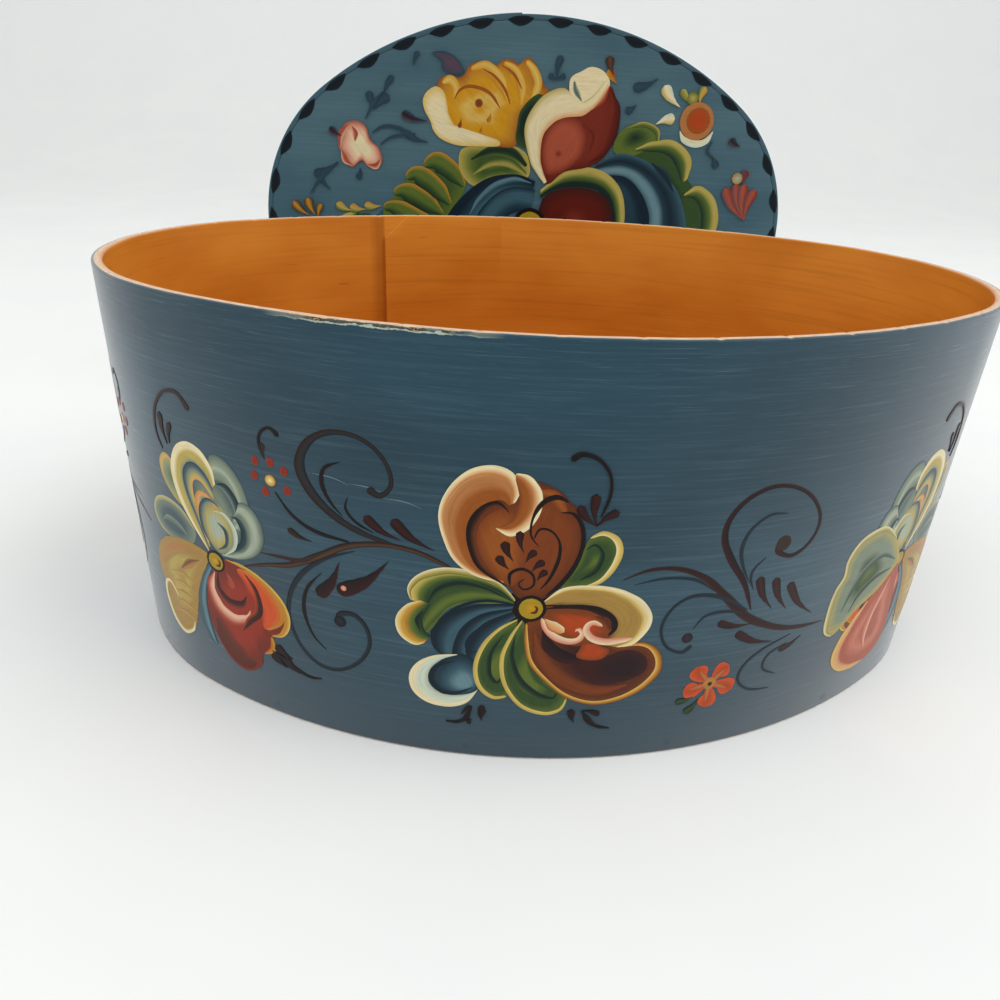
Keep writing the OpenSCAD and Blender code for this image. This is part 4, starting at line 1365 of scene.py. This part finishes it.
def lid_red_flower(p):
    """The red petal under its cream S-curl, with a dark leaf behind."""
    p.petal([(-9, 42), (-9, 50), (-7.6, 56.6), (-2.6, 62.4), (2, 64.4), (6, 60), (0, 50), (-2, 40)],
            (-5, 52), (MOSS, PINE, PINE))
    red = [(8, 23), (16.5, 29), (28.4, 31.8), (36.6, 36.6), (39.6, 43.6), (42.2, 53.8), (41.4, 60.4),
           (36.8, 69.4), (30, 64), (23, 58), (15, 57), (8, 54), (2, 47), (2, 34)]
    p.petal(red, (22, 44), (GARNET, BRICK, BRICK, BRICK))
    p.petal([(7, 28), (4, 38), (6, 48), (13, 54.6), (22, 54), (27, 47), (26, 38), (20, 31.6), (13, 28)],
            (13.6, 41), (BRICK, CORAL, CORAL, CORAL))
    p.stroke([(29, 34), (36.6, 40), (40, 50), (40.4, 60), (37, 67.4)], (1, 4, 6, 5, 1),
             (BRICK, GARNET, MAROON))
    p.stroke([(24, 52), (29, 46), (28, 38)], (1, 4, 1), (GARNET, BRICK, BRICK))
    p.dot((13, 37.6), 2.2, (CORAL, BRICK))
    p.petal([(16, 69.5), (17.3, 73), (21.6, 75.2), (25.8, 77.3), (30.4, 76.8), (34.4, 74.3), (36.2, 69.7),
             (31, 62), (23, 59), (17.4, 63)], (28, 69), (CREAM, CREAM, CREAM))
    p.stroke([(18.4, 71), (19.6, 67), (23, 62)], (1.4, 3.2, 0.8), (CREAM, SAGE, STEEL, MIST), cells=7)
    p.stroke([(36.4, 70), (33, 63.6), (28.4, 58.6)], (1, 3.6, 1), (RED, CORAL, PEACH, CREAM), cells=7)
    outer = [(6.5, 23), (1.4, 29), (-1.6, 33.7), (-5.1, 46.1), (-3.8, 54.3), (2, 62.6), (8.9, 66.8),
             (14.2, 67.4), (18, 64.6), (22.6, 61.6), (28.4, 65), (33.4, 71)]
    inner = [(8, 24), (5.6, 29), (3.8, 35.7), (4.5, 45.7), (9.1, 51.6), (13, 53.8), (17, 54.8),
             (23.4, 55.5), (27, 57.6), (30, 60.6), (33.4, 65.6), (36, 71)]
    p.between(outer, inner, (STRAW, CREAM, CREAM, CREAM, PEACH), cells=11)
    p.drop((40, 70.6), (35.4, 77), 4.4, (OCHRE, COPPER))
    p.drop((38, 74), (35, 82.6), 4.4, (BROWN, TAWNY, BROWN))


def lid_blossoms(p):
    """Small flowers and dark leaves scattered round the big flower."""
    p.petal([(-95.4, 46.7), (-90.2, 48.5), (-85.2, 46.4), (-82.9, 40.2), (-78.7, 36.4), (-77.1, 30.9),
             (-78.9, 27.6), (-84.1, 27.4), (-87.5, 30.5), (-92.8, 27), (-96.1, 32.5), (-98.9, 36.4),
             (-97.4, 41.2)], (-87, 37), (CORAL, PINK, CREAM, CREAM))
    for path in (((-98, 36), (-97.4, 42), (-93, 47)), ((-97.4, 35), (-95.6, 30), (-92, 28)),
                 ((-84.6, 28.6), (-80.4, 28), (-78, 31.4)), ((-92, 46), (-90.4, 43), (-90.6, 39))):
        p.stroke(path, (0.8, 3, 0.8), (CORAL, CORAL, PINK))
    p.drop((73.6, 61.6), (64, 71), 5.6, (STRAW, CREAM, ICE))
    p.drop((62, 53.4), (71.6, 56.4), 5.4, (ICE, CREAM, STRAW))
    p.drop((81, 63), (73, 69.6), 3.6, (LEAF, STRAW))
    p.drop((83, 63), (85, 71.6), 4.2, (LEAF, STRAW, OCHRE))
    p.dot((79.4, 66), 3, (LEAF, STRAW))
    p.stroke([(75, 51), (77.6, 47), (83.4, 45.2), (89.2, 46.6), (92.4, 51.4)], (0.6, 3, 3.4, 2.8, 0.6),
             (CREAM, ICE))
    p.dot((83.2, 55.7), 8.8, (FAWN, FAWN, COPPER))
    p.dot((83.8, 56), 6.2, (COPPER, ORANGE, ORANGE))
    for head, width in (((103.6, 24.6), 5.6), ((109, 27), 5), ((113.6, 27), 6), ((120, 24.6), 5.6)):
        p.drop((117, 8.6), head, width, (MAUVE, CORAL, BRICK))
    p.drop((113, 26), (113.6, 34), 5, (MAUVE, BRICK))
    p.dot((109.3, 29.6), 2.8, (TAN, MIST))


def lid_sprigs(p):
    """The dim leaves and tendrils that fill the lid's blue ground."""
    p.drops((DUSK, SHADE, DUSK), ((-80, 54), (-83, 62), 4), ((-80, 54), (-73, 60.4), 4.4),
            ((-76, 60), (-71, 69), 3), ((-61, 74), (-58.6, 80), 2.6), ((-88.4, 27), (-89.8, 21.4), 3.4),
            ((9.8, 71), (11.2, 81.6), 3.6), ((9.8, 71), (5.6, 73.4), 3), ((9.8, 71), (14, 73), 3),
            ((60.6, 74), (48.4, 69.2), 4.6), ((51, 62), (45.6, 58.4), 4), ((94, 39.6), (97, 34), 4),
            ((-99.6, 29.4), (-112, 22.8), 4.6), ((-54, 40.4), (-66, 44.6), 3.6),
            ((-104, 16), (-110, 24), 3))
    p.drops((MAUVE, PLUM, SHADE), ((-54.4, 50), (-67, 53), 4.4), ((-97, 41.4), (-103, 45), 4),
            ((108, 45), (102, 48.4), 4.6))
    p.petal([(-52, 79.8), (-45, 80.4), (-39, 77), (-36.6, 72), (-41, 70.8), (-47, 73), (-47.4, 76.6)],
            (-42, 75), (SHADE, MAUVE, MAUVE))
    p.line([(-85, 49.6), (-80.6, 57), (-76, 62)], (0.5, 1.8, 0.6), SHADE)
    p.line([(-82, 43.4), (-76, 46.6), (-68, 46), (-60, 41.6)], (0.5, 1.6, 1.8, 0.8), SHADE)
    p.line([(-60, 44), (-72, 42), (-78, 38)], (0.5, 1.4, 0.5), SHADE)
    p.line([(93, 47), (91, 42), (95.6, 38.6)], (0.5, 1.4, 0.5), SHADE)
    p.line([(-99, 29), (-108, 22), (-114, 14)], (0.5, 1.8, 0.6), SHADE)
    p.drops((BROWN, OCHRE, BROWN), ((-112, 3), (-116, 11.6), 5), ((-115, 3), (-123.4, 9.6), 4.6),
            ((-111, 2), (-109, 9), 4))


painter = Painter(lid_top, seed=40)
lid_border(painter)
painter.piece("lid_border", "lid", "painted_lid_board", strokes)
# The lid's flower in two halves: the lower one is the upper one turned about the middle
for seed, (name, turn) in enumerate((("lid_bouquet_low", True), ("lid_bouquet", False))):
    above = painter.lift if seed else GROUND_LIFT
    painter = Painter(lid_top, turn=turn, seed=50 + seed)
    painter.lift = above
    for group in (lid_leaves, lid_blue_petals, lid_gold_flower, lid_red_flower, lid_blossoms, lid_sprigs):
        group(painter)
    if not turn:
        button(painter, (0, 2), 9)
    painter.piece(name, "lid", "painted_lid_board", strokes)


# ---------------------------------------------------------------------------------------
# Floor, light and camera

FLOOR = paint(248, 248, 245)
FLOOR_SHADE = paint(244, 245, 243)
FAR_WALL = paint(254, 255, 254)


# The floor in metres: how far it reaches to each side and forward, how far it lies under the box,
# and where it turns up behind, with what radius and how high
FLOOR_REACH = 3.0
FLOOR_LOW = 0.0002
BEND_FROM = 1.2
BEND_R = 0.8
WALL_TOP = 3.2


def floor():
    """A pale sweep: flat under the box and turned up far behind it."""
    line = [(-FLOOR_REACH, -FLOOR_LOW), (BEND_FROM, -FLOOR_LOW)]
    for k in range(1, 13):
        turn = math.pi / 2 * k / 12
        line.append((BEND_FROM + BEND_R * math.sin(turn), BEND_R - BEND_R * math.cos(turn)))
    line.append((BEND_FROM + BEND_R, WALL_TOP))
    points = [Vector((x, y, z)) for y, z in line for x in (-FLOOR_REACH, FLOOR_REACH)]
    faces = [(2 * k, 2 * k + 1, 2 * k + 3, 2 * k + 2) for k in range(len(line) - 1)]
    mesh = bpy.data.meshes.new("floor")
    mesh.from_pydata(points, [], faces)
    mesh.shade_smooth()
    mixing = Finish("pale_floor", 0.8, 0.0)
    place = mixing.object_place()
    cloud = mixing.noise(place, (0.01, 0.01, 0.01), 3.0)
    _, _, up = mixing.parts(place)
    ground = mixing.mix(mixing.between(cloud, 0.3, 0.7), FLOOR_SHADE, FLOOR)
    mixing.colour(mixing.mix(mixing.between(up, 50.0, 700.0), ground, FAR_WALL))
    mesh.materials.append(mixing.material)
    sweep = bpy.data.objects.new("floor", mesh)
    bpy.context.scene.collection.objects.link(sweep)


# The point that the lamps aim at, in metres
LAMPS_AIM = (0.0, 0.05, 0.05)


def lamp(name, place, target, size, power):
    """A large soft lamp aimed at a point, in metres and watts."""
    light = bpy.data.lights.new(name, "AREA")
    light.shape = "DISK"
    light.size = size
    light.energy = power
    holder = bpy.data.objects.new(name, light)
    bpy.context.scene.collection.objects.link(holder)
    holder.location = place
    aim = Vector(target) - Vector(place)
    holder.rotation_euler = aim.to_track_quat("-Z", "Y").to_euler()


ROOM = (0.55, 0.56, 0.57, 1.0)
WINDOW = (0.97, 0.985, 1.0, 1.0)
PALE = paint(236, 238, 238)


def daylight(strength):
    """Even light from all round, dimmer from the room in front."""
    world = bpy.data.worlds.new("daylight")
    bpy.context.scene.world = world
    world.use_nodes = True
    sky = world.node_tree.nodes["Background"]
    mixing = Mixing(world.node_tree)
    _, back, _ = mixing.parts(mixing.add("ShaderNodeTexCoord", out="Generated"))
    glow = mixing.mix(mixing.between(back, -0.9, 0.5), ROOM, WINDOW)
    camera_ray, glossy_ray, clear_ray = [
        mixing.add("ShaderNodeLightPath", out=ray)
        for ray in ("Is Camera Ray", "Is Glossy Ray", "Is Transmission Ray")
    ]
    seen = (camera_ray + glossy_ray + clear_ray).clipped()
    mixing.feed(sky.inputs["Color"], mixing.mix(seen, glow, PALE))
    sky.inputs["Strength"].default_value = strength


# The camera: its place in mm, its turns to the side, down and about its own axis in degrees, and
# its lens and film in mm
CAMERA_AT = (-35.53, -246.46, 155.71)
CAMERA_TURNS = (-5.219, 26.979, 2.895)
LENS = 27.72
FILM = 36.0


def camera():
    """In front of the box, close by, looking down and a little to the right."""
    yaw, pitch, roll = (math.radians(turn) for turn in CAMERA_TURNS)
    ahead = Vector((-math.sin(yaw) * math.cos(pitch), math.cos(yaw) * math.cos(pitch), -math.sin(pitch)))
    side = Vector((math.cos(yaw), math.sin(yaw), 0))
    up = side.cross(ahead)
    right = side * math.cos(roll) + up * math.sin(roll)
    above = up * math.cos(roll) - side * math.sin(roll)
    lens = bpy.data.cameras.new("camera")
    lens.sensor_width = FILM
    lens.lens = LENS
    lens.clip_start = 0.01
    view = bpy.data.objects.new("camera", lens)
    bpy.context.scene.collection.objects.link(view)
    turned = Matrix((right, above, -ahead)).transposed().to_4x4()
    view.matrix_world = Matrix.Translation(Vector(CAMERA_AT) * MM) @ turned
    bpy.context.scene.camera = view


floor()
daylight(1.0)
lamp("window", (0.9, -0.3, 1.5), LAMPS_AIM, 1.2, 9.0)
lamp("fill", (-0.9, -0.6, 1.3), LAMPS_AIM, 1.4, 5.0)
camera()
bpy.context.scene.view_settings.view_transform = "Standard"
